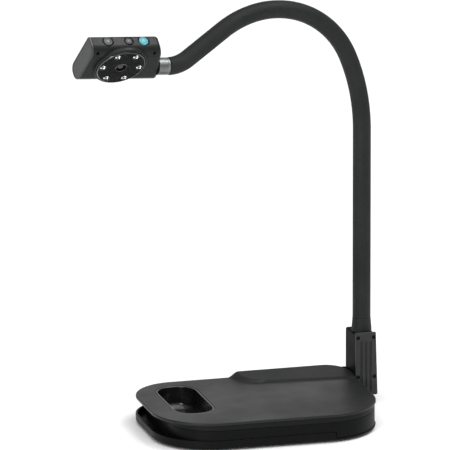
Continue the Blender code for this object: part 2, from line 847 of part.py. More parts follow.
def make_collar():
    end, heading = neck_point(NECK_LENGTH)
    aim = neck_direction(heading)
    frame = Matrix.Translation(end) @ aim.to_track_quat("Z", "Y").to_matrix().to_4x4()
    length = COLLAR_LENGTH - GAP
    profile = (
        (COLLAR_RADIUS - 0.0005, length), (COLLAR_RADIUS, length - 0.0005), (COLLAR_RADIUS, 0.0005),
        (COLLAR_RADIUS - 0.0005, 0.0), (CORE_RADIUS + GAP, 0.0), (CORE_RADIUS + GAP, length),
    )
    turned("neck_collar", profile, cap_grey(), frame, 24)


def head_section(inset=0.0):
    """The head's (y, z) section: nearly a half round at the back, a large radius under the buttons."""
    radii = tuple(radius - inset for radius in HEAD_RADII)
    return rounded_box_outline(
        HEAD_BACK + inset, HEAD_FRONT - inset, HEAD_TOP + inset, HEAD_UNDERSIDE - inset, radii, 4
    )


def make_shoulder():
    """The cone that carries the lens disc, kept within the head's front and back."""
    shoulder = rod(
        "shoulder", (0, 0, -0.012), (0, 0, -0.0018), SHOULDER_FOOT_RADIUS, sides=28,
        end_radius=SHOULDER_RADIUS,
    )
    behind = block("shoulder_back", (-0.06, -0.08, -0.03), (0.06, HEAD_BACK + 0.0015, 0.01), group=CUTTERS)
    front = block("shoulder_front", (-0.06, HEAD_FRONT - 0.0015, -0.03), (0.06, 0.08, 0.01), group=CUTTERS)
    cut(shoulder, behind, front)
    return apply_modifiers(shoulder)


def along_head(name, start, end, y, z, radius, sides):
    return rod(name, (start, y, z), (end, y, z), radius, sides=sides, group=CUTTERS)


def make_head_shell():
    left = HEAD_LEFT + CAP_THICKNESS + GAP
    shell = plate("head_shell", [head_section()], left, HEAD_RIGHT, case_plastic(), 0.0, "X")
    for vertex in shell.data.vertices:
        if vertex.co.x > 0.0:
            vertex.co.x -= HEAD_SKEW * vertex.co.y
    inside = plate(
        "head_space", [head_section(HEAD_WALL)], left - 0.01, HEAD_RIGHT - 0.018, group=CUTTERS, along="X"
    )
    join(shell, make_shoulder())
    disc_space = rod(
        "disc_space", (0, 0, -0.0100), (0, 0, 0.01), DISC_RADIUS + 2 * GAP, sides=32, group=CUTTERS
    )
    _, y, z = HEAD_SOCKET
    end = HEAD_SOCKET.x
    core_space = along_head("core_end_space", end - 0.012, end + 0.01, y, z, CORE_RADIUS + 0.0006, 16)
    collar_space = along_head("collar_space", end - GAP, end + 0.02, y, z, COLLAR_RADIUS + 2 * GAP, 24)
    spaces = [inside, disc_space, core_space, collar_space]
    for name, x, radius in BUTTONS:
        spaces.append(
            rod(
                f"{name}_space", (x, HEAD_FRONT - 0.01, BUTTON_Z), (x, HEAD_FRONT + 0.01, BUTTON_Z),
                radius + GAP, sides=16, group=CUTTERS,
            )
        )
    for index, (x, y) in enumerate(HEAD_SCREW_PLACES):
        name = f"head_screw_space_{index}"
        spaces.append(rod(name, (x, y, -0.0155), (x, y, 0.01), 0.0022, sides=12, group=CUTTERS))
    cut(shell, *spaces)
    place_on_head(shell, *spaces)
    return shell


def make_end_cap():
    right = HEAD_LEFT + CAP_THICKNESS
    cap = plate("head_end_cap", [head_section()], HEAD_LEFT, right, cap_grey(), 0.0010, "X")
    plug = plate(
        "cap_spigot", [head_section(HEAD_WALL + GAP)], HEAD_LEFT + 0.002, HEAD_LEFT + CAP_THICKNESS + 0.003,
        along="X",
    )
    join(cap, plug)
    place_on_head(cap)
    return cap


def make_lens_disc():
    profile = (
        (LENS_RADIUS + GAP, 0.0), (DISC_RADIUS - 0.0012, 0.0), (DISC_RADIUS - 0.0003, -0.0006),
        (DISC_RADIUS, -0.0016), (DISC_RADIUS, -DISC_DEPTH), (DISC_RADIUS - 0.002, -DISC_DEPTH),
        (DISC_RADIUS - 0.002, -0.0022), (LENS_RADIUS + GAP, -0.0022),
    )
    disc = turned("lens_disc", profile, dark_gloss(), Matrix.Identity(4), 32)
    cutters = []
    for index in range(6):
        x, y = led_place(index)
        name = f"led_hole_{index}"
        radius = LED_RADIUS + 2 * GAP
        cutters.append(rod(name, (x, y, -0.02), (x, y, 0.01), radius, sides=10, group=CUTTERS))
    cut(disc, *cutters)
    place_on_head(disc, *cutters)
    return disc


def led_place(index):
    angle = math.radians(60.0 * index)
    return LED_CIRCLE * math.cos(angle), LED_CIRCLE * math.sin(angle)


def make_leds():
    profile = [(0.0, 0.0006)]
    for step in range(1, 4):
        angle = math.radians(30.0 * step)
        profile.append((LED_RADIUS * math.sin(angle), -0.0012 + 0.0018 * math.cos(angle)))
    profile += [(LED_RADIUS, -0.0074), (0.0, -0.0074)]
    for index in range(6):
        x, y = led_place(index)
        turned(f"led_{index + 1}", profile, led_clear(), HEAD @ Matrix.Translation((x, y, 0)), 10)


def make_optics():
    barrel = (
        (LENS_RADIUS, -0.0004), (LENS_RADIUS, -0.0146), (0.0040, -0.0146), (0.0040, -0.0058),
        (0.0046, -0.0052), (0.0050, -0.0004),
    )
    turned("lens_barrel", barrel, dark_gloss(), HEAD, 20)
    glass = (
        (0.0, -0.0012), (0.0020, -0.0015), (0.0034, -0.0022),
        (0.0042, -0.0034), (0.0042, -0.0048), (0.0, -0.0048),
    )
    turned("lens_glass", glass, lens_glass(), HEAD, 16)
    board_place = HEAD @ Matrix.Translation((0, 0, -0.0089))
    turned("led_board", ring_profile(0.0280, 0.0068, 0.0012), board_green(), board_place, 20)
    sensor = plate(
        "sensor_board", [rounded_box_outline(-0.018, 0.018, -0.018, 0.015, (0.001,) * 4, 1)],
        -0.0166, -0.0150, board_green(),
    )
    place_on_head(sensor)


def make_buttons():
    for name, x, radius in BUTTONS:
        look = button_teal() if name == "capture_button" else button_grey()
        turn = Matrix.Rotation(math.radians(-90), 4, "X")
        frame = HEAD @ Matrix.Translation((x, HEAD_FRONT, BUTTON_Z)) @ turn
        profile = (
            (0.0, 0.0010), (radius - 0.0012, 0.0010), (radius - 0.0003, 0.0006), (radius, 0.0),
            (radius, -0.0040), (0.0, -0.0040),
        )
        turned(name, profile, look, frame, 16)


def make_head_screws():
    profile = (
        (0.0, 0.0), (0.0018, 0.0), (0.0018, -0.0013),
        (0.0010, -0.0013), (0.0010, -0.0068), (0.0, -0.0068),
    )
    for index, (x, y) in enumerate(HEAD_SCREW_PLACES):
        place = HEAD @ Matrix.Translation((x, y, HEAD_SCREW_TOP))
        turned(f"head_screw_{index + 1}", profile, screw_steel(), place, 10)


def main():
    make_tray()
    make_lower_shell()
    make_upper_shell()
    make_handle_well()
    make_ballast()
    make_main_board()
    make_usb_socket()
    make_feet()
    make_base_screws()
    make_knuckle()
    make_hinge_hardware()
    make_bracket()
    make_neck_boot()
    make_gooseneck()
    make_collar()
    make_head_shell()
    make_end_cap()
    make_lens_disc()
    make_leds()
    make_optics()
    make_buttons()
    make_head_screws()


main()
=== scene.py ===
"""Looks of the gooseneck document camera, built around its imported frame. Metres, +Z up."""

import json
import math

import bmesh
import bpy
from mathutils import Matrix, Vector

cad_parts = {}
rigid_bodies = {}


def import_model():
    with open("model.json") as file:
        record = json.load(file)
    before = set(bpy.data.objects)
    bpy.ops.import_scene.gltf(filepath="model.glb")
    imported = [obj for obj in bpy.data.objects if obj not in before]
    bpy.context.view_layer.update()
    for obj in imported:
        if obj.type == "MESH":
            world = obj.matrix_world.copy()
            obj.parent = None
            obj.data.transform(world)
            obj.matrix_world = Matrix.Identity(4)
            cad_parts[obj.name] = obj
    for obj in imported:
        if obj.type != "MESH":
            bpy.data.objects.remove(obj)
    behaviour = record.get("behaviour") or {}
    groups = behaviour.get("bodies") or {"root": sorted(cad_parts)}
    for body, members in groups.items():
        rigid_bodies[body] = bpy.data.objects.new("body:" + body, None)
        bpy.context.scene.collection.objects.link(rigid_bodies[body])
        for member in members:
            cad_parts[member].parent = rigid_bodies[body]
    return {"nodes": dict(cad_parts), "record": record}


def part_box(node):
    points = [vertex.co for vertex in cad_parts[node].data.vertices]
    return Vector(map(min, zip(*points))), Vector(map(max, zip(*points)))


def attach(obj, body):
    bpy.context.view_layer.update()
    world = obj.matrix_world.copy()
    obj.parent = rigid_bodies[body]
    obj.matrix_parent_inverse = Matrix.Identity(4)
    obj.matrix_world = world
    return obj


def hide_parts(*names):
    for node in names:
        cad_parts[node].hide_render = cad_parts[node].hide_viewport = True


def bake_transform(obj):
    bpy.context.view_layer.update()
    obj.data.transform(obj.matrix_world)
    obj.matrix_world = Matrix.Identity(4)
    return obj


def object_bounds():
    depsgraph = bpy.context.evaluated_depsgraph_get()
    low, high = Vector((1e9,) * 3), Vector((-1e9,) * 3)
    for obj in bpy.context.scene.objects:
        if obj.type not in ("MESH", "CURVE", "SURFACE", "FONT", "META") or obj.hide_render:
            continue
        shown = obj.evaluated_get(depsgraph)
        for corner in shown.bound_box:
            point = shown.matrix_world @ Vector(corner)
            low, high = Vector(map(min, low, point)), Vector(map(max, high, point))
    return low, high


def empty_scene():
    for item in list(bpy.data.objects):
        bpy.data.objects.remove(item, do_unlink=True)


empty_scene()
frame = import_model()
CAD_LOW, CAD_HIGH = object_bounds()

GAP = 0.0003

# Base, as in the frame
TRAY_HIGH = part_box("base_tray")[1]
HALF_LENGTH = TRAY_HIGH.x
HALF_WIDTH = TRAY_HIGH.y
LIP_TOP = TRAY_HIGH.z
SEAM_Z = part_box("lower_shell")[1].z
PLATE_TOP = 0.035
PLATE_THICKNESS = 0.004
CORNERS = (0.0745, 0.075, 0.034, 0.058)  # front left, front right, back right, back left
WALL_INSET = 0.0014
CHANNEL_DEPTH = 0.016
WALL = 0.003
TRAY_THICKNESS = 0.003
TRAY_ROUND = 0.0042
LIP_THICKNESS = 0.0024
LIP_ROUND = 0.0007
LIP_END_X = 0.070
LIP_SLOPE = 0.006
HANDLE = (-0.116, -0.063, -0.0475, 0.0790)  # left, right, front, back
HANDLE_RADIUS = 0.025
WELL_WALL = 0.002
WELL_FLOOR = 0.0022
WELL_RIM_ROUND = 0.0008
WELL_FOOT_ROUND = 0.010
# The hump's left end, front edge, corner radius and forward lean, at its foot and at its crest
HUMP_FOOT = (-0.0125, 0.0585, 0.038, 0.124)
HUMP_CREST = (0.0020, 0.0655, 0.028, 0.069)
HUMP_MIDDLE_X = 0.044
HUMP_FRONT_HEIGHT = 0.0027
HUMP_HEIGHT = 0.0076
FOOT_NODES = ("foot_1", "foot_2", "foot_3", "foot_4")
FOOT_RADIUS = 0.0080
FOOT_HOLLOW = 0.0004
BASE_SCREW_HEAD = (0.0033, 0.0011)  # radius, height
BASE_SCREW_SHANK = 0.0015
BASE_SCREW_SPACE = 0.0018

# Hinge and arm
HINGE_Y = 0.0844
HINGE_Z = 0.028
KNUCKLE_RADIUS = 0.0135
KNUCKLE_X = (0.1160, 0.1435)
BARREL_RADIUS = 0.008
SHAFT_RADIUS = 0.004
NUT_SPACE_RADIUS = 0.0092
BRACKET_X = (0.1453, 0.1721)
BRACKET_Y = (0.061, 0.108)
BRACKET_Z = (0.0075, 0.0875)
BRACKET_TAPER = 0.0022
BRACKET_CORNERS = (0.013, 0.013, 0.004, 0.0015)
BRACKET_WALL = 0.0025
COVER_THICKNESS = 0.0028
COVER_TOP = 0.0910
COVER_SEAT_DEPTH = 0.0016
GROOVE_RADIUS = 0.0015
GROOVE_TOP = 0.083
GROOVE_PLACES = (0.1530, 0.1589, 0.1648)
COVER_SCREW_HEAD = 0.0022
COVER_SCREW_SHANK = 0.0012
COVER_SCREW_SPACE = 0.0015

# Gooseneck; a bend is an arc's radius or a line's length, and its turn in degrees
NECK_RADIUS = 0.0114
SKIN_BORE = 0.0088
SKIN_END_ROUND = 0.0012
SKIN_SIDES = 56
NECK_X = 0.1595
NECK_Y = HINGE_Y
NECK_YAW = math.radians(10.3)
NECK_START_Z = 0.106
UPRIGHT_TOP_Z = 0.3497
NECK_BENDS = (
    ("arc", 0.251, -23.0),
    ("arc", 0.119, -99.5),
    ("line", 0.058, 0.0),
    ("arc", 0.044, 38.5),
)
LINKS = 7
BEND_REACH = 0.030

# Camera head, in its own frame: x to the neck, y to the buttons, z out of the lens
HEAD_ROLL = math.radians(130.0)
COLLAR_LENGTH = 0.0155
COLLAR_RADIUS = 0.0110
CORE_RADIUS = 0.0052
HEAD_SOCKET = Vector((0.0590, -0.016, -0.01375))
HEAD_FRONT = 0.028
HEAD_BACK = -0.0365
HEAD_UNDERSIDE = -0.0046
HEAD_TOP = -0.0295
HEAD_LEFT = -0.0475
HEAD_RIGHT = 0.0555
HEAD_SKEW = 0.24
HEAD_WALL = 0.0022
HEAD_END_ROUND = 0.0050
HEAD_CORNERS = (0.0110, 0.0035, 0.0125, 0.0110)
CAP_THICKNESS = 0.0032
CAP_EDGE = 0.0011
DISC_RADIUS = 0.0315
DISC_DEPTH = 0.0095
DISC_WALL = 0.002
SHOULDER_RADIUS = 0.0340
LED_CIRCLE = 0.0248
LED_RADIUS = 0.0034
LED_COUNT = 6
LENS_RADIUS = 0.0062
GLASS_RADIUS = 0.0042
GLASS_SWEEP = math.radians(58.0)
BUTTON_Z = -0.0212
BUTTON_RISE = 0.0009
BUTTON_DEPTH = 0.0040
BUTTONS = (
    ("lamp_button", -0.0226, 0.0067),
    ("focus_button", 0.0063, 0.0056),
    ("capture_button", 0.0267, 0.0070),
)
HEAD_SCREW_PLACES = ((-0.0385, 0.0218), (0.0400, 0.0216))
HEAD_SCREW_TOP = -0.0082
HEAD_SCREW_SPACE = 0.0022

# Camera, and the lights as name, place, aim, size and power
VIEW_WIDTH = 0.5625
VIEW_MIDDLE = Vector((-0.0420, 0.0, 0.2629))
VIEW_AROUND = math.radians(15.4)
VIEW_ABOVE = math.radians(15.6)
LENS_LENGTH = 1500.0
SENSOR_WIDTH = 36.0
WORLD_STRENGTH = 0.42
SUN_STRENGTH = 2.1
SUN_SPREAD = math.radians(70.0)
SUN_AIM = Vector((-0.1, 0.35, -1.0))
AREA_LIGHTS = (
    ("side", (-1.5, -1.9, 0.7), (0.0, 0.0, 0.2), (0.7, 1.0), 26.0),
    ("top", (0.95, 0.06, 2.16), (-0.13, 0.0, 0.48), (0.9, 0.9), 15.0),
    ("back", (0.77, 2.8, 0.95), (0.0, 0.0, 0.05), (2.4, 1.0), 3.0),
)

Z_TO_X = Matrix(((0, 0, 1), (1, 0, 0), (0, 1, 0))).to_4x4()
Z_TO_Y = Matrix.Rotation(math.radians(-90), 4, "X")

CUTTERS = bpy.data.collections.new("cutters")
bpy.context.scene.collection.children.link(CUTTERS)


# ------------ materials


class Paint:
    """A node material under construction."""

    def __init__(self, name):
        self.material = bpy.data.materials.new(name)
        self.material.use_nodes = True
        self.tree = self.material.node_tree
        self.shader = self.tree.nodes["Principled BSDF"]
        self.place = self.add("ShaderNodeTexCoord").outputs["Object"]

    def add(self, kind, **settings):
        node = self.tree.nodes.new(kind)
        for key, value in settings.items():
            setattr(node, key, value)
        return node

    def join(self, source, target):
        self.tree.links.new(source, target)

    def noise(self, scale, detail=3.0, rough=0.55, stretch=None):
        node = self.add("ShaderNodeTexNoise")
        node.inputs["Scale"].default_value = scale
        node.inputs["Detail"].default_value = detail
        node.inputs["Roughness"].default_value = rough
        place = self.place
        if stretch is not None:
            mapping = self.add("ShaderNodeMapping")
            mapping.inputs["Scale"].default_value = stretch
            self.join(place, mapping.inputs["Vector"])
            place = mapping.outputs["Vector"]
        self.join(place, node.inputs["Vector"])
        return node.outputs["Fac"]

    def cells(self, scale):
        node = self.add("ShaderNodeTexVoronoi", feature="F1")
        node.inputs["Scale"].default_value = scale
        self.join(self.place, node.inputs["Vector"])
        return node.outputs["Distance"]

    def range(self, source, low, high, from_low=0.0, from_high=1.0):
        node = self.add("ShaderNodeMapRange")
        node.inputs["From Min"].default_value = from_low
        node.inputs["From Max"].default_value = from_high
        node.inputs["To Min"].default_value = low
        node.inputs["To Max"].default_value = high
        self.join(source, node.inputs["Value"])
        return node.outputs["Result"]

    def math(self, operation, first, second):
        node = self.add("ShaderNodeMath", operation=operation)
        for index, value in enumerate((first, second)):
            if isinstance(value, (int, float)):
                node.inputs[index].default_value = value
            else:
                self.join(value, node.inputs[index])
        return node.outputs["Value"]

    def blend(self, share, first, second):
        node = self.add("ShaderNodeMix", data_type="RGBA")
        self.join(share, node.inputs["Factor"])
        for socket, value in ((node.inputs["A"], first), (node.inputs["B"], second)):
            if isinstance(value, tuple):
                socket.default_value = (*value, 1.0)
            else:
                self.join(value, socket)
        return node.outputs["Result"]

    def clouded(self, cloud, colour, dark, light):
        """The colour, drifting between a darker and a lighter share of itself."""
        return self.blend(self.range(cloud, 0.0, 1.0, 0.3, 0.7), scaled(colour, dark), scaled(colour, light))

    def bump(self, source, distance, strength, under=None):
        node = self.add("ShaderNodeBump")
        node.inputs["Distance"].default_value = distance
        node.inputs["Strength"].default_value = strength
        self.join(source, node.inputs["Height"])
        if under is not None:
            self.join(under, node.inputs["Normal"])
        return node.outputs["Normal"]

    def set(self, **values):
        for key, value in values.items():
            socket = self.shader.inputs[key.replace("_", " ")]
            if isinstance(value, tuple):
                socket.default_value = (*value, 1.0)
            elif isinstance(value, (int, float)):
                socket.default_value = value
            else:
                self.join(value, socket)
        return self.material


def scaled(colour, factor):
    return tuple(channel * factor for channel in colour)


def moulded(name, colour, roughness, depth=0.00003, spread=0.16, specular=0.5):
    """Spark-eroded moulded plastic: fine grain, cloudy colour, rubbed patches and hairline scratches."""
    paint = Paint(name)
    cloud = paint.noise(26.0, 4.0)
    fine = paint.noise(420.0, 3.0, 0.6)
    tone = paint.clouded(cloud, colour, 1.0 - spread, 1.0 + spread)
    tone = paint.blend(paint.range(fine, 0.0, 0.35, 0.35, 0.75), tone, scaled(colour, 1.35))
    rubbed = paint.noise(9.0, 5.0, 0.62)
    scratch = paint.noise(90.0, 2.0, 0.5, (1.0, 14.0, 6.0))
    hairline = paint.range(scratch, 0.0, 1.0, 0.66, 0.70)
    dusty = paint.blend(paint.math("MULTIPLY", hairline, 0.11), tone, scaled(colour, 2.2))
    gloss = paint.range(rubbed, roughness - 0.07, roughness + 0.07, 0.35, 0.65)
    gloss = paint.math("SUBTRACT", gloss, paint.math("MULTIPLY", hairline, 0.05))
    skin = paint.bump(paint.cells(2600.0), depth, 0.55)
    skin = paint.bump(paint.noise(1560.0, 2.0), depth * 0.8, 0.5, skin)
    return paint.set(Base_Color=dusty, Roughness=gloss, Normal=skin, Specular_IOR_Level=specular)


def glossy(name, colour, roughness, coat=0.6):
    """Polished dark plastic with faint swirls, dust specks and a clear skin."""
    paint = Paint(name)
    cloud = paint.noise(40.0, 3.0)
    tone = paint.clouded(cloud, colour, 0.8, 1.25)
    speck = paint.range(paint.cells(700.0), 1.0, 0.0, 0.0, 0.09)
    tone = paint.blend(paint.math("MULTIPLY", speck, 0.25), tone, (0.16, 0.16, 0.155))
    smear = paint.noise(55.0, 5.0, 0.6, (1.0, 4.0, 1.0))
    gloss = paint.range(smear, roughness * 0.75, roughness * 1.35, 0.35, 0.65)
    skin = paint.bump(paint.noise(180.0, 2.0), 0.00001, 0.4)
    return paint.set(
        Base_Color=tone, Roughness=gloss, Normal=skin, Coat_Weight=coat, Coat_Roughness=0.06
    )


def rubbery(name, colour, roughness):
    """Soft black skin with a pebbled surface and handling marks."""
    paint = Paint(name)
    cloud = paint.noise(32.0, 4.0, 0.6)
    tone = paint.clouded(cloud, colour, 0.8, 1.22)
    mottle = paint.noise(360.0, 4.0, 0.65)
    tone = paint.blend(paint.range(mottle, 0.0, 0.55, 0.4, 0.72), tone, scaled(colour, 1.8))
    touched = paint.noise(14.0, 5.0, 0.6)
    gloss = paint.range(touched, roughness - 0.08, roughness + 0.06, 0.35, 0.65)
    skin = paint.bump(paint.cells(1900.0), 0.00005, 0.5)
    skin = paint.bump(paint.noise(620.0, 3.0), 0.00006, 0.5, skin)
    return paint.set(Base_Color=tone, Roughness=gloss, Normal=skin, Specular_IOR_Level=0.18)


def metal(name, colour, roughness, stretch=(1.0, 1.0, 24.0), depth=0.000012):
    """Machined or rolled metal with directional marks and a little tarnish."""
    paint = Paint(name)
    cloud = paint.noise(60.0, 4.0)
    tone = paint.clouded(cloud, colour, 0.82, 1.08)
    marks = paint.noise(160.0, 3.0, 0.6, stretch)
    gloss = paint.range(marks, roughness - 0.07, roughness + 0.10, 0.3, 0.7)
    skin = paint.bump(marks, depth, 0.6)
    return paint.set(Base_Color=tone, Roughness=gloss, Normal=skin, Metallic=1.0)


def circuit(name):
    """Solder-masked board: green mask, paler copper tracks beneath it and tinned dots."""
    paint = Paint(name)
    tracks = paint.add("ShaderNodeTexBrick")
    tracks.inputs["Scale"].default_value = 260.0
    tracks.inputs["Mortar Size"].default_value = 0.03
    paint.join(paint.place, tracks.inputs["Vector"])
    buried = paint.math("MULTIPLY", tracks.outputs["Fac"], 0.5)
    tone = paint.blend(buried, (0.012, 0.085, 0.036), (0.05, 0.20, 0.08))
    dots = paint.range(paint.cells(420.0), 1.0, 0.0, 0.10, 0.14)
    tone = paint.blend(dots, tone, (0.55, 0.55, 0.52))
    gloss = paint.range(dots, 0.42, 0.28)
    skin = paint.bump(tracks.outputs["Fac"], 0.00003, 0.6)
    return paint.set(Base_Color=tone, Roughness=gloss, Normal=skin)


def glass_look(name, colour, roughness):
    """Coated glass: deep violet tint with a faint lighter bloom."""
    paint = Paint(name)
    bloom = paint.noise(230.0, 2.0)
    tone = paint.blend(paint.range(bloom, 0.0, 1.0, 0.35, 0.65), colour, scaled(colour, 1.9))
    film = paint.range(paint.noise(90.0, 3.0), roughness, roughness * 2.2, 0.3, 0.7)
    return paint.set(Base_Color=tone, Roughness=film, Coat_Weight=1.0, Coat_Roughness=0.02)


def lamp_dome(name):
    """Clear epoxy over the emitter, slightly cloudy inside."""
    paint = Paint(name)
    cloud = paint.noise(500.0, 3.0)
    tone = paint.blend(paint.range(cloud, 0.0, 1.0, 0.3, 0.7), (0.90, 0.91, 0.90), (0.98, 0.98, 0.98))
    film = paint.range(cloud, 0.03, 0.08, 0.3, 0.7)
    return paint.set(Base_Color=tone, Roughness=film, Transmission_Weight=1.0, IOR=1.45)


def lamp_chip(name, strength):
    """The emitter's pale phosphor, softly lit."""
    paint = Paint(name)
    cloud = paint.noise(900.0, 3.0)
    tone = paint.blend(cloud, (0.92, 0.91, 0.82), (0.99, 0.99, 0.97))
    glow = paint.range(cloud, strength * 0.9, strength * 1.1, 0.3, 0.7)
    return paint.set(Base_Color=tone, Roughness=0.5, Emission_Color=(1.0, 0.99, 0.96), Emission_Strength=glow)


# Painted shade: the bracket gets a darker copy of the black case plastic, standing in for the shade on its
# sides.
ARM_SHADED = moulded("arm_moulding_painted_shade", (0.0045, 0.0049, 0.0048), 0.60, specular=0.025)
# Painted shade: the walls, tray and knuckle get a darker copy of the black case plastic, standing in for the
# shade on the base's sides.
CASE_SHADED = moulded("case_moulding_painted_shade", (0.0032, 0.0035, 0.0034), 0.40, specular=0.075)
SKIRT = moulded("skirt_moulding", (0.0055, 0.0059, 0.0058), 0.42, specular=0.11)
LENS_BLACK = moulded("lens_black", (0.0020, 0.0020, 0.0021), 0.50, specular=0.05)
# Painted light: the arm cover gets a much lighter copy of the black case plastic, standing in for the light
# on its front face.
COVER_LIT = moulded("cover_moulding_painted_light", (0.0240, 0.0250, 0.0245), 0.42, specular=0.25)
# Painted light: the top plate gets a lighter copy of the black case plastic than its skirt, standing in for
# the light on its upper face.
CASE_TOP_LIT = moulded("case_top_painted_light", (0.0085, 0.0090, 0.0088), 0.40, specular=0.24)
# Painted light: the camera head gets the same lighter copy of the black case plastic, standing in for the
# light on its front.
CASE_HEAD_LIT = moulded("head_moulding_painted_light", (0.0085, 0.0091, 0.0089), 0.36, specular=0.20)
WELL = glossy("well_black", (0.0045, 0.0047, 0.0050), 0.22, 0.25)
GLOSS = glossy("gloss_black", (0.0075, 0.0078, 0.0082), 0.13)
RUBBER = rubbery("neck_skin", (0.0115, 0.0124, 0.0122), 0.62)
SOLE = rubbery("foot_sole", (0.0130, 0.0130, 0.0130), 0.85)
DARK_STEEL = metal("blackened_steel", (0.012, 0.012, 0.013), 0.36, (6.0, 6.0, 6.0))
STEEL = metal("rolled_steel", (0.56, 0.56, 0.57), 0.30)
COLLAR = metal("satin_collar", (0.20, 0.205, 0.205), 0.38, (1.0, 18.0, 1.0))
BOARD = circuit("board_mask")
CAP = moulded("cap_grey", (0.030, 0.032, 0.0315), 0.34, depth=0.00002, specular=0.35)
BUTTON = moulded("button_grey", (0.062, 0.068, 0.066), 0.36, depth=0.00002, spread=0.10)
TEAL = moulded("button_teal", (0.07, 0.30, 0.34), 0.34, depth=0.00002, spread=0.08)
GLASS = glass_look("coated_glass", (0.012, 0.010, 0.020), 0.02)
DOME = lamp_dome("lamp_dome")
CHIP = lamp_chip("lamp_chip", 0.35)
REFLECTOR = metal("lamp_reflector", (0.34, 0.35, 0.35), 0.16, (3.0, 3.0, 3.0), 0.000004)


# ------------ mesh tools


def keep(name, data, cutter=False):
    """Puts an object in the scene, or among the hidden cutters."""
    made = bpy.data.objects.new(name, data)
    (CUTTERS if cutter else bpy.context.scene.collection).objects.link(made)
    made.hide_render = cutter
    return made


def mesh_of(work, name):
    bmesh.ops.recalc_face_normals(work, faces=work.faces)
    mesh = bpy.data.meshes.new(name)
    work.to_mesh(mesh)
    work.free()
    return mesh


def evaluated_mesh(made):
    bpy.context.view_layer.update()
    ready = made.evaluated_get(bpy.context.evaluated_depsgraph_get())
    return bpy.data.meshes.new_from_object(ready)


def bake_down(made):
    """Applies a mesh object's modifiers."""
    mesh = evaluated_mesh(made)
    made.modifiers.clear()
    made.data = mesh
    return made


def drop(*items):
    for item in items:
        bpy.data.objects.remove(item, do_unlink=True)


def cut(made, *cutters, operation="DIFFERENCE"):
    for cutter in cutters:
        step = made.modifiers.new("cut", "BOOLEAN")
        step.operation = operation
        step.object = cutter
        step.solver = "EXACT"
        bake_down(made)
        drop(cutter)
    return made


def join(made, *others):
    return cut(made, *others, operation="UNION")


def curve_mesh(made):
    mesh = evaluated_mesh(made)
    mesh.transform(made.matrix_world)
    drop(made)
    work = bmesh.new()
    work.from_mesh(mesh)
    bmesh.ops.remove_doubles(work, verts=work.verts, dist=0.000005)
    return mesh_of(work, "from_curve")


def outline(x0, x1, y0, y1, radii, steps=20):
    """Corners run front left, front right, back right, back left, each an arc of its own radius."""
    points = []
    corners = ((x0, y0, 180.0), (x1, y0, 270.0), (x1, y1, 0.0), (x0, y1, 90.0))
    for (x, y, start), radius in zip(corners, radii):
        middle_x = x + radius if x == x0 else x - radius
        middle_y = y + radius if y == y0 else y - radius
        for step in range(steps + 1):
            angle = math.radians(start + 90.0 * step / steps)
            points.append((middle_x + radius * math.cos(angle), middle_y + radius * math.sin(angle)))
    return points


def plate(name, outlines, low, high, edge=0.0, along="Z", cutter=False, rounds=3):
    """A flat solid with rounded edges between two heights; outlines after the first are holes."""
    curve = bpy.data.curves.new(name, "CURVE")
    curve.dimensions = "2D"
    curve.fill_mode = "BOTH"
    curve.extrude = (high - low) / 2 - edge
    curve.bevel_depth = edge
    curve.bevel_resolution = rounds
    curve.offset = -edge
    for points in outlines:
        spline = curve.splines.new("POLY")
        spline.points.add(len(points) - 1)
        for point, (x, y) in zip(spline.points, points):
            point.co = (x, y, 0.0, 1.0)
        spline.use_cyclic_u = True
    made = keep(name, curve)
    middle = (low + high) / 2
    made.matrix_world = Matrix.Translation((0, 0, middle))
    if along == "X":
        made.matrix_world = Matrix.Translation((middle, 0, 0)) @ Z_TO_X
    return keep(name, curve_mesh(made), cutter)


def block(name, low, high):
    """A box that cuts."""
    work = bmesh.new()
    bmesh.ops.create_cube(work, size=1.0)
    bmesh.ops.scale(work, vec=Vector(high) - Vector(low), verts=work.verts)
    bmesh.ops.translate(work, vec=(Vector(high) + Vector(low)) / 2, verts=work.verts)
    return keep(name, mesh_of(work, name), True)


def rod(name, start, end, radius, sides=48, end_radius=None, cutter=True):
    start = Vector(start)
    end = Vector(end)
    span = end - start
    top = radius if end_radius is None else end_radius
    work = bmesh.new()
    bmesh.ops.create_cone(work, cap_ends=True, segments=sides, radius1=radius, radius2=top, depth=span.length)
    turn = span.to_track_quat("Z", "Y").to_matrix().to_4x4()
    bmesh.ops.transform(work, matrix=Matrix.Translation((start + end) / 2) @ turn, verts=work.verts)
    return keep(name, mesh_of(work, name), cutter)


def upright(name, place, low, high, radius, sides=48, end_radius=None, cutter=True):
    """An upright rod through a place in plan."""
    x, y = place[0], place[1]
    return rod(name, (x, y, low), (x, y, high), radius, sides, end_radius, cutter)


def level_rod(name, x, z, front, back, radius, sides):
    """A cutting rod that runs from front to back."""
    return rod(name, (x, front, z), (x, back, z), radius, sides)


def hinge_rod(name, left, right, radius, cutter=True):
    """A rod on the hinge's axis."""
    return rod(name, (left, HINGE_Y, HINGE_Z), (right, HINGE_Y, HINGE_Z), radius, cutter=cutter)


def quarter_round(radius, steps):
    """A quarter circle, as its gaps to the two faces that it joins."""
    angles = [math.radians(90.0 * step / steps) for step in range(steps + 1)]
    return [(radius * (1 - math.sin(angle)), radius * (1 - math.cos(angle))) for angle in angles]


def rounded(profile, radius, steps=4):
    """Rounds the inner corners of an open (radius, height) line."""
    points = [Vector(profile[0])]
    for before, corner, after in zip(profile, profile[1:], profile[2:]):
        corner = Vector(corner)
        back = Vector(before) - corner
        on = Vector(after) - corner
        reach = min(radius, back.length * 0.45, on.length * 0.45)
        first = corner + back.normalized() * reach
        last = corner + on.normalized() * reach
        for step in range(steps + 1):
            share = step / steps
            points.append(first * (1 - share) ** 2 + corner * 2 * share * (1 - share) + last * share ** 2)
    points.append(Vector(profile[-1]))
    return [tuple(point) for point in points]


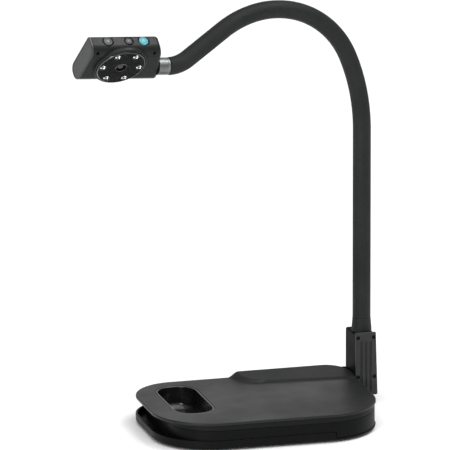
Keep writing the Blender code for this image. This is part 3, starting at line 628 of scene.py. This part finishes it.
def lathe(name, profile, place, sides=64, closed=False):
    """Turns (radius, height) points about the place's Z axis. A closed profile makes a ring."""
    work = bmesh.new()
    rings = []
    for radius, height in profile:
        if radius < 1e-7:
            rings.append([work.verts.new((0.0, 0.0, height))])
            continue
        ring = []
        for side in range(sides):
            angle = 2 * math.pi * side / sides
            ring.append(work.verts.new((radius * math.cos(angle), radius * math.sin(angle), height)))
        rings.append(ring)
    pairs = list(zip(rings, rings[1:]))
    if closed:
        pairs.append((rings[-1], rings[0]))
    for low, high in pairs:
        for side in range(sides):
            after = (side + 1) % sides
            corners = [low[side % len(low)], low[after % len(low)]]
            corners += [high[after % len(high)], high[side % len(high)]]
            unique = list(dict.fromkeys(corners))
            if len(unique) > 2:
                work.faces.new(unique)
    bmesh.ops.transform(work, matrix=place, verts=work.verts)
    return keep(name, mesh_of(work, name))


def loft(name, rings, cutter=False):
    """Joins rings of equal point counts, capped at both ends."""
    work = bmesh.new()
    rows = [[work.verts.new(point) for point in ring] for ring in rings]
    work.faces.new(list(reversed(rows[0])))
    work.faces.new(rows[-1])
    count = len(rows[0])
    for low, high in zip(rows, rows[1:]):
        for index in range(count):
            after = (index + 1) % count
            work.faces.new((low[index], low[after], high[after], high[index]))
    return keep(name, mesh_of(work, name), cutter)


def dress(made, paint, even=True):
    """Gives a finished mesh its material and its shading."""
    made.data.materials.clear()
    made.data.materials.append(paint)
    made.data.shade_smooth()
    made.data.set_sharp_from_angle(angle=math.radians(32.0))
    if even:
        normals = made.modifiers.new("even_normals", "WEIGHTED_NORMAL")
        normals.keep_sharp = True
        normals.weight = 60


def stand_for(made, body, slot, *nodes):
    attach(made, body)
    if nodes:
        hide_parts(*nodes)


# ------------ base


def base_outline(inset=0.0, left=0.0):
    """The base's plan, moved in all round by inset and at its left end by left."""
    front_left, front_right, back_right, back_left = (radius - inset for radius in CORNERS)
    radii = (front_left - left, front_right, back_right, back_left - left)
    half_x = HALF_LENGTH - inset
    half_y = HALF_WIDTH - inset
    return outline(-half_x + left, half_x, -half_y, half_y, radii, 24)


def handle_outline(grow=0.0):
    x0, x1, y0, y1 = HANDLE
    return outline(x0 - grow, x1 + grow, y0 - grow, y1 + grow, (HANDLE_RADIUS + grow,) * 4, 14)


def box_middle(node):
    low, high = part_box(node)
    return (low + high) / 2


def screw_places():
    return [box_middle(f"base_screw_{index}") for index in range(1, 5)]


def foot_places():
    return [box_middle(node) for node in FOOT_NODES]


def barrel_space():
    return hinge_rod("barrel_space", 0.098, 0.150, BARREL_RADIUS + GAP)


def nut_space():
    return hinge_rod("nut_space", 0.086, 0.099, NUT_SPACE_RADIUS)


def at_height(plan, height):
    return [(x, y, height) for x, y in plan]


def make_tray():
    levels = quarter_round(TRAY_ROUND, 8)
    levels += [(inset, LIP_TOP - drop) for drop, inset in quarter_round(LIP_ROUND, 5)]
    tray = loft("tray_moulding", [at_height(base_outline(inset), height) for inset, height in levels])
    cut(tray, plate("tray_space", [base_outline(LIP_THICKNESS)], TRAY_THICKNESS, 0.03, cutter=True))
    stop = block("stop", (LIP_END_X, -0.2, TRAY_THICKNESS), (0.2, 0.2, 0.03))
    for vertex in stop.data.vertices:
        if vertex.co.x < 0.1 and vertex.co.z < 0.02:
            vertex.co.x += LIP_SLOPE
    cut(tray, stop)
    socket = box_middle("usb_socket")
    notch_floor = TRAY_THICKNESS + 0.0008
    cut(tray, block("notch", (socket.x - 0.010, 0.09, notch_floor), (socket.x + 0.010, 0.11, 0.03)))
    for place in foot_places():
        cut(tray, upright("seat", place, -0.01, 0.0010, FOOT_RADIUS + GAP))
    for place in screw_places():
        cut(tray, upright("clear", place, -0.01, 0.01, BASE_SCREW_SPACE, 24))
        cut(tray, upright("sink", place, -0.01, 0.0018, BASE_SCREW_HEAD[0] + GAP, 32))
    dress(tray, CASE_SHADED)
    stand_for(tray, "base", "case_plastic", "base_tray")


def make_lower_casing():
    low = TRAY_THICKNESS + GAP
    outer = base_outline(WALL_INSET, CHANNEL_DEPTH)
    shell = plate("casing_lower", [outer, handle_outline(GAP)], low, SEAM_Z, 0.0004)
    inner = [base_outline(WALL_INSET + WALL, CHANNEL_DEPTH), handle_outline(0.003)]
    cut(shell, plate("pocket", inner, low + 0.0025, 0.05, cutter=True))
    for place in screw_places():
        join(shell, upright("boss", place, low + 0.001, 0.014, 0.0042, 32, cutter=False))
        cut(shell, upright("pilot", place, -0.01, 0.0125, BASE_SCREW_SPACE, 24))
    around = outline(-0.2, 0.2, -0.15, 0.15, (0.01,) * 4, 1)
    rebate = plate("rebate", [around, base_outline(LIP_THICKNESS + GAP)], -0.01, LIP_TOP + GAP, cutter=True)
    end = block("rebate_end", (-0.3, -0.3, -0.02), (LIP_END_X + LIP_SLOPE + GAP, 0.3, 0.03))
    cut(rebate, end, operation="INTERSECT")
    socket = box_middle("usb_socket")
    mouth = block("mouth", (socket.x - 0.0063, 0.080, 0.0065), (socket.x + 0.0063, 0.12, 0.0176))
    cut(shell, rebate, barrel_space(), nut_space(), mouth)
    dress(shell, CASE_SHADED)
    stand_for(shell, "base", "case_plastic", "lower_shell")


def hump_height(y):
    """The hump's top falls towards its front edge."""
    share = (y - HUMP_CREST[1]) / (HALF_WIDTH - HUMP_CREST[1])
    return HUMP_FRONT_HEIGHT + (HUMP_HEIGHT - HUMP_FRONT_HEIGHT) * share


def hump_outline(share):
    """The hump's plan between its foot and its crest; its front edge comes forward towards the arm."""
    left, front, radius, lean = (low + (high - low) * share for low, high in zip(HUMP_FOOT, HUMP_CREST))
    back = HALF_WIDTH + 0.002
    box = outline(left, HALF_LENGTH + 0.002, front, back, (radius, 0.001, 0.001, 0.001), 20)
    return [(x, y - lean * (x - HUMP_MIDDLE_X) * (back - y) / (back - front)) for x, y in box]


def hump_rings():
    """Rises from the plate in a soft S and rolls over into the sloping top."""
    rings = [at_height(hump_outline(0.0), PLATE_TOP - 0.0015)]
    steps = 14
    for step in range(steps + 1):
        share = step / steps
        eased = share * share * (3 - 2 * share)
        rings.append([(x, y, PLATE_TOP + hump_height(y) * eased) for x, y in hump_outline(share)])
    return rings


def make_upper_casing():
    low = PLATE_TOP - PLATE_THICKNESS
    shell = plate("casing_top", [base_outline(), handle_outline(GAP)], low, PLATE_TOP, 0.0012, rounds=4)
    hump = loft("hump", hump_rings())
    bounds = plate("hump_bounds", [base_outline(0.0016)], 0.0, 0.06, cutter=True)
    cut(hump, bounds, operation="INTERSECT")
    join(shell, hump)
    plan = outline(0.012, 0.088, 0.064, 0.089, (0.008,) * 4, 6)
    pocket = plate("hump_pocket", [plan], 0.02, PLATE_TOP, cutter=True)
    cut(shell, pocket, barrel_space(), nut_space())
    dress(shell, CASE_TOP_LIT)
    stand_for(shell, "base", "case_plastic", "upper_shell")


def make_skirt():
    """The wall under the top plate."""
    top = PLATE_TOP - PLATE_THICKNESS - 0.0001
    rings = [base_outline(WALL_INSET, CHANNEL_DEPTH), base_outline(WALL_INSET + WALL, CHANNEL_DEPTH)]
    skirt = plate("casing_skirt", rings, SEAM_Z + GAP, top, 0.0003)
    cut(skirt, barrel_space(), nut_space())
    dress(skirt, SKIRT)
    stand_for(skirt, "base", "case_plastic")


def make_well():
    """A bowl with a soft rim, upright sides and a rounded foot."""
    low = TRAY_THICKNESS + GAP
    top = PLATE_TOP - 0.0004
    levels = [(0.0, low), (0.0, top - 0.0002), (0.0003, top)]
    levels += [(WELL_WALL - inset, top - drop) for inset, drop in quarter_round(WELL_RIM_ROUND, 5)]
    floor = low + WELL_FLOOR
    levels += [(WELL_WALL + inset, floor + rise) for rise, inset in quarter_round(WELL_FOOT_ROUND, 10)]
    well = loft("hand_well_lining", [at_height(handle_outline(-inset), height) for inset, height in levels])
    dress(well, WELL)
    stand_for(well, "base", "dark_gloss", "handle_well")


def make_feet():
    for index, (node, place) in enumerate(zip(FOOT_NODES, foot_places()), 1):
        low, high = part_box(node)
        height = high.z - low.z
        profile = [
            (0.0, FOOT_HOLLOW), (FOOT_RADIUS - 0.0028, FOOT_HOLLOW), (FOOT_RADIUS - 0.0024, 0.0),
            (FOOT_RADIUS, 0.0), (FOOT_RADIUS, height), (0.0, height),
        ]
        spot = Matrix.Translation((place.x, place.y, low.z))
        foot = lathe(f"rubber_foot_{index}", rounded(profile, 0.0005), spot, 48)
        dress(foot, SOLE)
        stand_for(foot, "base", "foot_rubber", node)


def cross_recess(place, aim, reach, width, depth):
    """Two thin blocks that cut a cross into a screw's head."""
    turn = Vector(aim).to_track_quat("Z", "Y").to_matrix().to_4x4()
    arms = []
    for size in ((reach, width, depth), (width, reach, depth)):
        arm = block("arm", (-size[0], -size[1], -size[2]), size)
        arm.data.transform(Matrix.Translation(place) @ turn)
        arms.append(arm)
    return arms


def make_base_screws():
    for index, place in enumerate(screw_places(), 1):
        low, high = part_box(f"base_screw_{index}")
        span = high.z - low.z
        radius, height = BASE_SCREW_HEAD
        profile = [
            (0.0, 0.0), (radius, 0.0), (radius, height), (BASE_SCREW_SHANK, height),
            (BASE_SCREW_SHANK, span), (0.0, span),
        ]
        middle = (place.x, place.y, low.z)
        screw = lathe(f"base_fixing_{index}", rounded(profile, 0.0003), Matrix.Translation(middle), 32)
        cut(screw, *cross_recess(middle, (0, 0, 1), 0.0017, 0.00035, 0.0006))
        dress(screw, DARK_STEEL)
        stand_for(screw, "base", "screw_steel", f"base_screw_{index}")


def make_knuckle():
    low, high = KNUCKLE_X
    length = high - low
    profile = [(0.0, 0.0), (KNUCKLE_RADIUS, 0.0), (KNUCKLE_RADIUS, length), (0.0, length)]
    place = Matrix.Translation((low, HINGE_Y, HINGE_Z)) @ Z_TO_X
    knuckle = lathe("hinge_barrel", rounded(profile, 0.0016, 6), place, 96)
    cut(knuckle, plate("base_space", [base_outline(-GAP)], -0.01, 0.06, cutter=True))
    join(knuckle, hinge_rod("inner", 0.100, high - 0.001, BARREL_RADIUS, cutter=False))
    cut(knuckle, hinge_rod("bore", 0.09, 0.16, SHAFT_RADIUS + GAP))
    dress(knuckle, CASE_SHADED)
    stand_for(knuckle, "base", "case_plastic", "hinge_knuckle")


# ------------ arm


def taper(made):
    """Widens the bracket's right side towards its foot."""
    low, high = BRACKET_Z
    middle = (BRACKET_X[0] + BRACKET_X[1]) / 2
    for vertex in made.data.vertices:
        if vertex.co.x > middle:
            vertex.co.x += BRACKET_TAPER * (1.0 - (vertex.co.z - low) / (high - low))
    return made


def cover_screw_places():
    return [box_middle(f"cover_screw_{index}") for index in range(1, 5)]


def make_bracket():
    y0 = BRACKET_Y[0] + COVER_THICKNESS + GAP
    y1 = BRACKET_Y[1]
    z0, z1 = BRACKET_Z
    shape = outline(y0, y1, z0, z1, BRACKET_CORNERS, 14)
    shell = taper(plate("arm_bracket", [shape], *BRACKET_X, 0.0014, "X", rounds=4))
    x0, x1 = BRACKET_X
    hollow = block(
        "hollow", (x0 + BRACKET_WALL, y0 + 0.009, HINGE_Z + 0.012),
        (x1 - BRACKET_WALL, y1 - BRACKET_WALL, z1 - 0.010),
    )
    mouth = block("mouth", (x0 + 0.007, y0 - 0.01, HINGE_Z + 0.026), (x1 - 0.007, y1 - 0.02, z1 - 0.022))
    shaft = hinge_rod("shaft", 0.14, 0.1665, SHAFT_RADIUS + GAP)
    core = upright("core", (NECK_X, NECK_Y), 0.05, 0.11, CORE_RADIUS + GAP)
    cut(shell, hollow, mouth, shaft, core)
    front = BRACKET_Y[0]
    for place in cover_screw_places():
        cut(shell, level_rod("thread", place.x, place.z, front - 0.01, front + 0.010, COVER_SCREW_SPACE, 24))
    dress(shell, ARM_SHADED)
    stand_for(shell, "arm", "case_plastic", "bracket_shell")


def groove(x):
    """A round-bottomed channel that runs up the cover and fades out near its top."""
    front = BRACKET_Y[0]
    curve = bpy.data.curves.new("groove", "CURVE")
    curve.dimensions = "3D"
    curve.bevel_depth = GROOVE_RADIUS
    curve.bevel_resolution = 5
    curve.use_fill_caps = True
    path = [
        (front + 0.0002, 0.0), (front + 0.0002, GROOVE_TOP - 0.012), (front - 0.0002, GROOVE_TOP - 0.005),
        (front - 0.0022, GROOVE_TOP + 0.0015),
    ]
    spline = curve.splines.new("POLY")
    spline.points.add(len(path) - 1)
    for point, (y, z) in zip(spline.points, path):
        point.co = (x, y, z, 1.0)
    return keep("groove", curve_mesh(keep("groove_line", curve)), True)


def make_cover():
    z0 = BRACKET_Z[0]
    shape = outline(*BRACKET_X, z0 + 0.0015, COVER_TOP, (0.0018,) * 4, 8)
    cover = plate("arm_cover", [shape], 0.0, COVER_THICKNESS, 0.0009, rounds=4)
    stand = Matrix(((1, 0, 0), (0, 0, 1), (0, 1, 0))).to_4x4()
    cover.data.transform(Matrix.Translation((0, BRACKET_Y[0], 0)) @ stand)
    cover.data.flip_normals()
    taper(cover)
    cut(cover, *[groove(x) for x in GROOVE_PLACES])
    front = BRACKET_Y[0]
    for place in cover_screw_places():
        cut(cover, level_rod("clear", place.x, place.z, front - 0.01, front + 0.01, COVER_SCREW_SPACE, 24))
        seat = front + COVER_SEAT_DEPTH
        cut(cover, level_rod("seat", place.x, place.z, front - 0.01, seat, COVER_SCREW_HEAD + 0.0004, 32))
    dress(cover, COVER_LIT)
    stand_for(cover, "arm", "case_plastic", "bracket_cover")


def make_cover_screws():
    for index, place in enumerate(cover_screw_places(), 1):
        low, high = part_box(f"cover_screw_{index}")
        reach = high.y - low.y
        spot = Matrix.Translation((place.x, low.y, place.z)) @ Z_TO_Y
        profile = [
            (0.0, 0.0), (COVER_SCREW_HEAD - 0.0003, 0.0001), (COVER_SCREW_HEAD, 0.0005),
            (COVER_SCREW_HEAD, 0.0008), (COVER_SCREW_SHANK, 0.0008), (COVER_SCREW_SHANK, reach), (0.0, reach),
        ]
        screw = lathe(f"cover_fixing_{index}", rounded(profile, 0.0002), spot, 32)
        cut(screw, *cross_recess((place.x, low.y, place.z), (0, 1, 0), 0.0011, 0.00025, 0.0005))
        dress(screw, DARK_STEEL)
        stand_for(screw, "arm", "screw_steel", f"cover_screw_{index}")


def make_boot():
    low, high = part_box("neck_boot")
    height = high.z - low.z
    profile = [
        (CORE_RADIUS + 0.0008, 0.0), (NECK_RADIUS + 0.0014, 0.0), (NECK_RADIUS + 0.0013, 0.0030),
        (NECK_RADIUS + 0.0006, height - 0.0070), (NECK_RADIUS + 0.0001, height - 0.0004),
        (NECK_RADIUS - 0.0003, height), (CORE_RADIUS + 0.0008, height),
    ]
    place = Matrix.Translation((NECK_X, NECK_Y, low.z))
    boot = lathe("neck_root", rounded(profile, 0.0006), place, 72, closed=True)
    dress(boot, RUBBER)
    stand_for(boot, "arm", "neck_rubber", "neck_boot")


# ------------ gooseneck


def neck_direction(heading):
    """A unit vector in the neck's plane; heading 90 degrees is straight up."""
    level = math.cos(math.radians(heading))
    return Vector((-math.cos(NECK_YAW) * level, -math.sin(NECK_YAW) * level, math.sin(math.radians(heading))))


def neck_runs():
    """The neck's runs from its foot, as kind, length and turn."""
    runs = [("line", UPRIGHT_TOP_Z - NECK_START_Z, 0.0)]
    for kind, size, turn in NECK_BENDS:
        runs.append((kind, size if kind == "line" else size * math.radians(abs(turn)), turn))
    return runs


NECK_LENGTH = sum(length for kind, length, turn in neck_runs())


def neck_point(distance):
    """The centreline's place and heading at a distance from the neck's foot."""
    place = Vector((NECK_X, NECK_Y, NECK_START_Z))
    heading = 90.0
    left = distance
    for kind, length, turn in neck_runs():
        part = min(left, length)
        if kind == "line" or part <= 0.0:
            place = place + neck_direction(heading) * part
        else:
            swept = turn * part / length
            chord = 2.0 * length / math.radians(abs(turn)) * math.sin(math.radians(abs(swept)) / 2.0)
            place = place + neck_direction(heading + swept / 2.0) * chord
            heading += swept
        left -= part
        if left <= 0.0:
            break
    return place + neck_direction(heading) * max(left, 0.0), heading


def skin_ring(distance, radius):
    place, heading = neck_point(distance)
    across = neck_direction(0.0).cross(neck_direction(90.0)).normalized()
    normal = across.cross(neck_direction(heading))
    points = []
    for side in range(SKIN_SIDES):
        angle = 2 * math.pi * side / SKIN_SIDES
        points.append(place + (normal * math.cos(angle) + across * math.sin(angle)) * radius)
    return points


def tube_skin(name, first, last, round_end):
    """A hollow length of the neck's skin, closed between its outer and inner faces."""
    count = max(8, round((last - first) / 0.0024))
    outer = [(first + (last - first) * step / count, NECK_RADIUS) for step in range(count + 1)]
    if round_end:
        outer = outer[:-1]
        for angle in (0.0, 25.0, 50.0, 75.0, 90.0):
            drop = SKIN_END_ROUND * (1 - math.sin(math.radians(angle)))
            inset = SKIN_END_ROUND * (1 - math.cos(math.radians(angle)))
            outer.append((last - drop, NECK_RADIUS - inset))
    rings = [skin_ring(distance, radius) for distance, radius in outer]
    rings.append(skin_ring(last, SKIN_BORE))
    rings += [skin_ring(distance, SKIN_BORE) for distance, radius in reversed(outer[::3])]
    work = bmesh.new()
    rows = [[work.verts.new(point) for point in ring] for ring in rings]
    rows.append(rows[0])
    for low, high in zip(rows, rows[1:]):
        for index in range(len(low)):
            after = (index + 1) % len(low)
            work.faces.new((low[index], low[after], high[after], high[index]))
    return keep(name, mesh_of(work, name))


def make_neck():
    link = NECK_LENGTH / LINKS
    for pivot in range(1, LINKS):
        first = 0.0 if pivot == 1 else (pivot - 0.5) * link
        last = NECK_LENGTH - 3 * GAP if pivot == LINKS - 1 else (pivot + 0.5) * link
        skin = tube_skin(f"neck_skin_{pivot}", first, last, pivot == LINKS - 1)
        dress(skin, RUBBER, even=False)
        nodes = [f"neck_sleeve_{pivot + 1}"]
        if pivot == 1:
            nodes.append("neck_sleeve_1")
        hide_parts(*nodes)
        start = neck_point(pivot * link - BEND_REACH)[0]
        end = neck_point(pivot * link + BEND_REACH)[0]
        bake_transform(skin)


# ------------ head


def head_frame():
    neck_end, heading = neck_point(NECK_LENGTH)
    turn = Matrix.Rotation(NECK_YAW, 4, "Z") @ Matrix.Rotation(math.radians(heading), 4, "Y")
    turn = turn @ Matrix.Rotation(HEAD_ROLL, 4, "X")
    collar_end = neck_end + neck_direction(heading) * COLLAR_LENGTH
    return Matrix.Translation(collar_end - turn.to_3x3() @ HEAD_SOCKET) @ turn


HEAD = head_frame()


def on_head(made):
    made.data.transform(HEAD)


def head_ring(x, inset, skew=0.0):
    """The head's section at x, moved in by inset; a skewed section leans back along the head."""
    radii = [max(0.0006, radius - inset) for radius in HEAD_CORNERS]
    section = outline(
        HEAD_BACK + inset, HEAD_FRONT - inset, HEAD_TOP + inset, HEAD_UNDERSIDE - inset, radii, 12
    )
    return [(x - skew * y, y, z) for y, z in section]


def make_collar():
    end, heading = neck_point(NECK_LENGTH)
    turn = neck_direction(heading).to_track_quat("Z", "Y").to_matrix().to_4x4()
    place = Matrix.Translation(end) @ turn
    length = COLLAR_LENGTH - GAP
    bore = CORE_RADIUS + GAP
    profile = [
        (bore, 0.0), (COLLAR_RADIUS, 0.0), (COLLAR_RADIUS, 0.0022), (COLLAR_RADIUS - 0.00025, 0.0024),
        (COLLAR_RADIUS - 0.00025, 0.0029), (COLLAR_RADIUS, 0.0031), (COLLAR_RADIUS, length), (bore, length),
    ]
    collar = lathe("head_collar", rounded(profile, 0.0005), place, 72, closed=True)
    dress(collar, COLLAR)
    stand_for(collar, "neck_7", "collar_grey", "neck_collar")


def make_head_shell():
    left = HEAD_LEFT + CAP_THICKNESS + GAP
    rings = [head_ring(left, 0.0003), head_ring(left + 0.0003, 0.0)]
    for drop, inset in quarter_round(HEAD_END_ROUND, 8):
        rings.append(head_ring(HEAD_RIGHT - drop, inset, HEAD_SKEW))
    shell = loft("head_housing", rings)
    profile = [
        (0.0, -0.013), (SHOULDER_RADIUS - 0.0070, -0.013), (SHOULDER_RADIUS + 0.0005, -0.0068),
        (SHOULDER_RADIUS, -0.0018), (0.0, -0.0018),
    ]
    shoulder = lathe("shoulder", rounded(profile, 0.0014), Matrix.Identity(4), 96)
    socket = HEAD_SOCKET
    join(shell, shoulder)
    collar = rod(
        "collar_space", (socket.x - GAP, socket.y, socket.z), (socket.x + 0.02, socket.y, socket.z),
        COLLAR_RADIUS + 2 * GAP, 72,
    )
    cut(shell, collar)
    inside = [head_ring(left - 0.01, HEAD_WALL), head_ring(HEAD_RIGHT - 0.018, HEAD_WALL)]
    cut(shell, loft("inside", inside, True))
    cut(shell, upright("disc_space", (0, 0), -0.0100, 0.01, DISC_RADIUS + 2 * GAP, 96))
    core = rod(
        "core_end", (socket.x - 0.012, socket.y, socket.z), (socket.x + 0.01, socket.y, socket.z),
        CORE_RADIUS + 2 * GAP,
    )
    cut(shell, core)
    face = HEAD_FRONT
    for _, x, radius in BUTTONS:
        cut(shell, level_rod("button_space", x, BUTTON_Z, face - 0.01, face + 0.01, radius + GAP, 64))
        cut(shell, level_rod("rim", x, BUTTON_Z, face - 0.0016, face + 0.01, radius + 0.0011, 64))
    for place in HEAD_SCREW_PLACES:
        cut(shell, upright("screw_space", place, -0.0155, 0.01, HEAD_SCREW_SPACE, 32))
    on_head(shell)
    dress(shell, CASE_HEAD_LIT)
    stand_for(shell, "head", "case_plastic", "head_shell")


def make_end_cap():
    top = HEAD_LEFT + CAP_THICKNESS
    rings = [head_ring(top, 0.0003), head_ring(top - 0.0003, 0.0)]
    rings += [head_ring(HEAD_LEFT + rise, inset) for rise, inset in quarter_round(CAP_EDGE, 6)]
    cap = loft("head_side_plate", rings)
    sunk = ((-0.002, 0.0016), (0.0001, 0.0019), (0.00045, 0.0023))
    panel = [head_ring(HEAD_LEFT + depth, inset) for depth, inset in sunk]
    cut(cap, loft("panel", panel, True))
    inset = HEAD_WALL + GAP
    join(cap, loft("spigot", [head_ring(HEAD_LEFT + 0.002, inset), head_ring(top + 0.003, inset)]))
    on_head(cap)
    dress(cap, CAP)
    stand_for(cap, "head", "cap_grey", "head_end_cap")


def led_place(index):
    angle = math.radians(360.0 / LED_COUNT * index)
    return LED_CIRCLE * math.cos(angle), LED_CIRCLE * math.sin(angle)


def make_disc():
    profile = [
        (LENS_RADIUS + GAP, -0.0002), (LENS_RADIUS + 0.0010, -0.0002), (LENS_RADIUS + 0.0016, 0.0),
        (DISC_RADIUS - 0.0010, 0.0), (DISC_RADIUS, -0.0012), (DISC_RADIUS, -DISC_DEPTH),
        (DISC_RADIUS - DISC_WALL, -DISC_DEPTH), (DISC_RADIUS - DISC_WALL, -0.0022),
        (LENS_RADIUS + GAP, -0.0022),
    ]
    disc = lathe("lens_face", rounded(profile, 0.0005), Matrix.Identity(4), 128, closed=True)
    for index in range(LED_COUNT):
        place = led_place(index)
        cut(disc, upright("led_hole", place, -0.02, 0.01, LED_RADIUS + 2 * GAP, 40))
        cut(disc, upright("led_rim", place, -0.0006, 0.0004, LED_RADIUS + GAP, 40, LED_RADIUS + 0.0014))
    on_head(disc)
    dress(disc, GLOSS)
    stand_for(disc, "head", "dark_gloss", "lens_disc")


def make_leds():
    for index in range(LED_COUNT):
        x, y = led_place(index)
        spot = HEAD @ Matrix.Translation((x, y, 0))
        radius = LED_RADIUS
        dome = [(0.0, 0.0006)]
        for step in range(1, 9):
            angle = math.radians(90.0 * step / 8)
            dome.append((radius * math.sin(angle), -0.0014 + 0.0020 * math.cos(angle)))
        dome += [(radius, -0.0024), (0.0, -0.0024)]
        lens = lathe(f"led_dome_{index + 1}", dome, spot, 48)
        dress(lens, DOME)
        stand_for(lens, "head", "led_clear", f"led_{index + 1}")
        cup = [
            (0.0012, -0.0052), (radius - 0.0003, -0.0027), (radius, -0.0027),
            (radius, -0.0074), (0.0012, -0.0074),
        ]
        reflector = lathe(f"led_cup_{index + 1}", cup, spot, 40, closed=True)
        dress(reflector, REFLECTOR)
        stand_for(reflector, "head", "led_clear")
        chip_profile = [
            (0.0, -0.0046), (0.0010, -0.0046), (0.0011, -0.0048), (0.0011, -0.0072), (0.0, -0.0072),
        ]
        chip = lathe(f"led_chip_{index + 1}", chip_profile, spot, 24)
        dress(chip, CHIP)
        stand_for(chip, "head", "led_clear")


def make_optics():
    barrel = [
        (0.0050, -0.0004), (LENS_RADIUS, -0.0004), (LENS_RADIUS, -0.0146), (0.0040, -0.0146),
        (0.0040, -0.0058), (0.0046, -0.0052),
    ]
    tube = lathe("lens_tube", rounded(barrel, 0.0003), HEAD, 72, closed=True)
    dress(tube, LENS_BLACK)
    stand_for(tube, "head", "dark_gloss", "lens_barrel")
    glass = [(0.0, -0.0010)]
    for step in range(1, 11):
        angle = GLASS_SWEEP * step / 10
        across = GLASS_RADIUS * math.sin(angle) / math.sin(GLASS_SWEEP)
        glass.append((across, -0.0035 + 0.0025 * math.cos(angle)))
    glass += [(GLASS_RADIUS, -0.0048), (0.0, -0.0048)]
    front = lathe("lens_front", glass, HEAD, 64)
    dress(front, GLASS)
    stand_for(front, "head", "lens_glass", "lens_glass")


def make_buttons():
    for name, x, radius in BUTTONS:
        paint, slot = (TEAL, "button_teal") if name == "capture_button" else (BUTTON, "button_grey")
        spot = HEAD @ Matrix.Translation((x, HEAD_FRONT, BUTTON_Z)) @ Z_TO_Y
        profile = [
            (0.0, BUTTON_RISE), (radius * 0.40, 0.0008), (radius * 0.62, 0.0001), (radius * 0.72, 0.0001),
            (radius - 0.0018, BUTTON_RISE), (radius - 0.0011, 0.0007), (radius - 0.0009, 0.0),
            (radius - 0.0009, -BUTTON_DEPTH), (0.0, -BUTTON_DEPTH),
        ]
        button = lathe(f"{name}_cap", rounded(profile, 0.0007), spot, 72)
        dress(button, paint)
        stand_for(button, name, slot, name)


def make_head_screws():
    for index, (x, y) in enumerate(HEAD_SCREW_PLACES, 1):
        profile = [
            (0.0, 0.0), (0.0018, 0.0), (0.0018, -0.0013), (0.0010, -0.0013), (0.0010, -0.0068),
            (0.0, -0.0068),
        ]
        spot = Matrix.Translation((x, y, HEAD_SCREW_TOP))
        screw = lathe(f"head_fixing_{index}", rounded(profile, 0.0002), spot, 32)
        cut(screw, *cross_recess((x, y, HEAD_SCREW_TOP), (0, 0, 1), 0.0010, 0.00025, 0.0005))
        on_head(screw)
        dress(screw, DARK_STEEL)
        stand_for(screw, "head", "screw_steel", f"head_screw_{index}")


# ------------ inner pieces, floor, light and camera


def paint_inner_nodes():
    looks = {
        "case_plastic": CASE_SHADED, "bare_steel": STEEL, "board_green": BOARD, "screw_steel": DARK_STEEL,
        "neck_rubber": RUBBER, "dark_gloss": GLOSS, "cap_grey": CAP, "foot_rubber": SOLE,
    }
    for row in frame["record"]["materials"]:
        for node in row.get("nodes", []):
            if row["slot"] in looks and not frame["nodes"][node].hide_render:
                mesh = frame["nodes"][node].data
                for index in range(len(mesh.materials)):
                    mesh.materials[index] = looks[row["slot"]]


def make_floor():
    work = bmesh.new()
    bmesh.ops.create_grid(work, x_segments=2, y_segments=2, size=40.0)
    floor = keep("floor", mesh_of(work, "floor"))
    floor.location = (0.0, 0.0, CAD_LOW.z)
    paint = Paint("pale_floor")
    tone = paint.blend(paint.noise(3.0, 2.0), (0.90, 0.90, 0.90), (0.92, 0.92, 0.92))
    floor.data.materials.append(paint.set(Base_Color=tone, Roughness=0.65))


def area_light(name, place, aim, size, power):
    light = bpy.data.lights.new(name, "AREA")
    light.shape = "RECTANGLE"
    light.size, light.size_y = size
    light.energy = power
    made = keep(name, light)
    made.location = place
    made.rotation_euler = (Vector(aim) - Vector(place)).to_track_quat("-Z", "Y").to_euler()


def make_light():
    world = bpy.data.worlds.new("studio")
    bpy.context.scene.world = world
    world.use_nodes = True
    backdrop = world.node_tree.nodes["Background"]
    backdrop.inputs["Color"].default_value = (1.0, 1.0, 1.0, 1.0)
    backdrop.inputs["Strength"].default_value = WORLD_STRENGTH
    sun = bpy.data.lights.new("overhead", "SUN")
    sun.energy = SUN_STRENGTH
    sun.angle = SUN_SPREAD
    high = keep("overhead", sun)
    high.rotation_euler = SUN_AIM.to_track_quat("-Z", "Y").to_euler()
    for light in AREA_LIGHTS:
        area_light(*light)


def make_camera():
    lens = bpy.data.cameras.new("camera")
    lens.lens = LENS_LENGTH
    lens.sensor_width = SENSOR_WIDTH
    lens.clip_end = 100.0
    camera = keep("camera", lens)
    level = math.cos(VIEW_ABOVE)
    towards = Vector((-math.sin(VIEW_AROUND) * level, -math.cos(VIEW_AROUND) * level, math.sin(VIEW_ABOVE)))
    up = Vector((0.0, 0.0, 1.0))
    right = up.cross(towards).normalized()
    up = towards.cross(right)
    turn = Matrix((right, up, towards)).transposed()
    distance = VIEW_WIDTH * LENS_LENGTH / SENSOR_WIDTH
    camera.matrix_world = Matrix.Translation(VIEW_MIDDLE + towards * distance) @ turn.to_4x4()
    bpy.context.scene.camera = camera


make_tray()
make_lower_casing()
make_upper_casing()
make_skirt()
make_well()
make_feet()
make_base_screws()
make_knuckle()
make_bracket()
make_cover()
make_cover_screws()
make_boot()
make_neck()
make_collar()
make_head_shell()
make_end_cap()
make_disc()
make_leds()
make_optics()
make_buttons()
make_head_screws()
paint_inner_nodes()
make_floor()
make_light()
make_camera()
bpy.context.scene.view_settings.view_transform = "Standard"
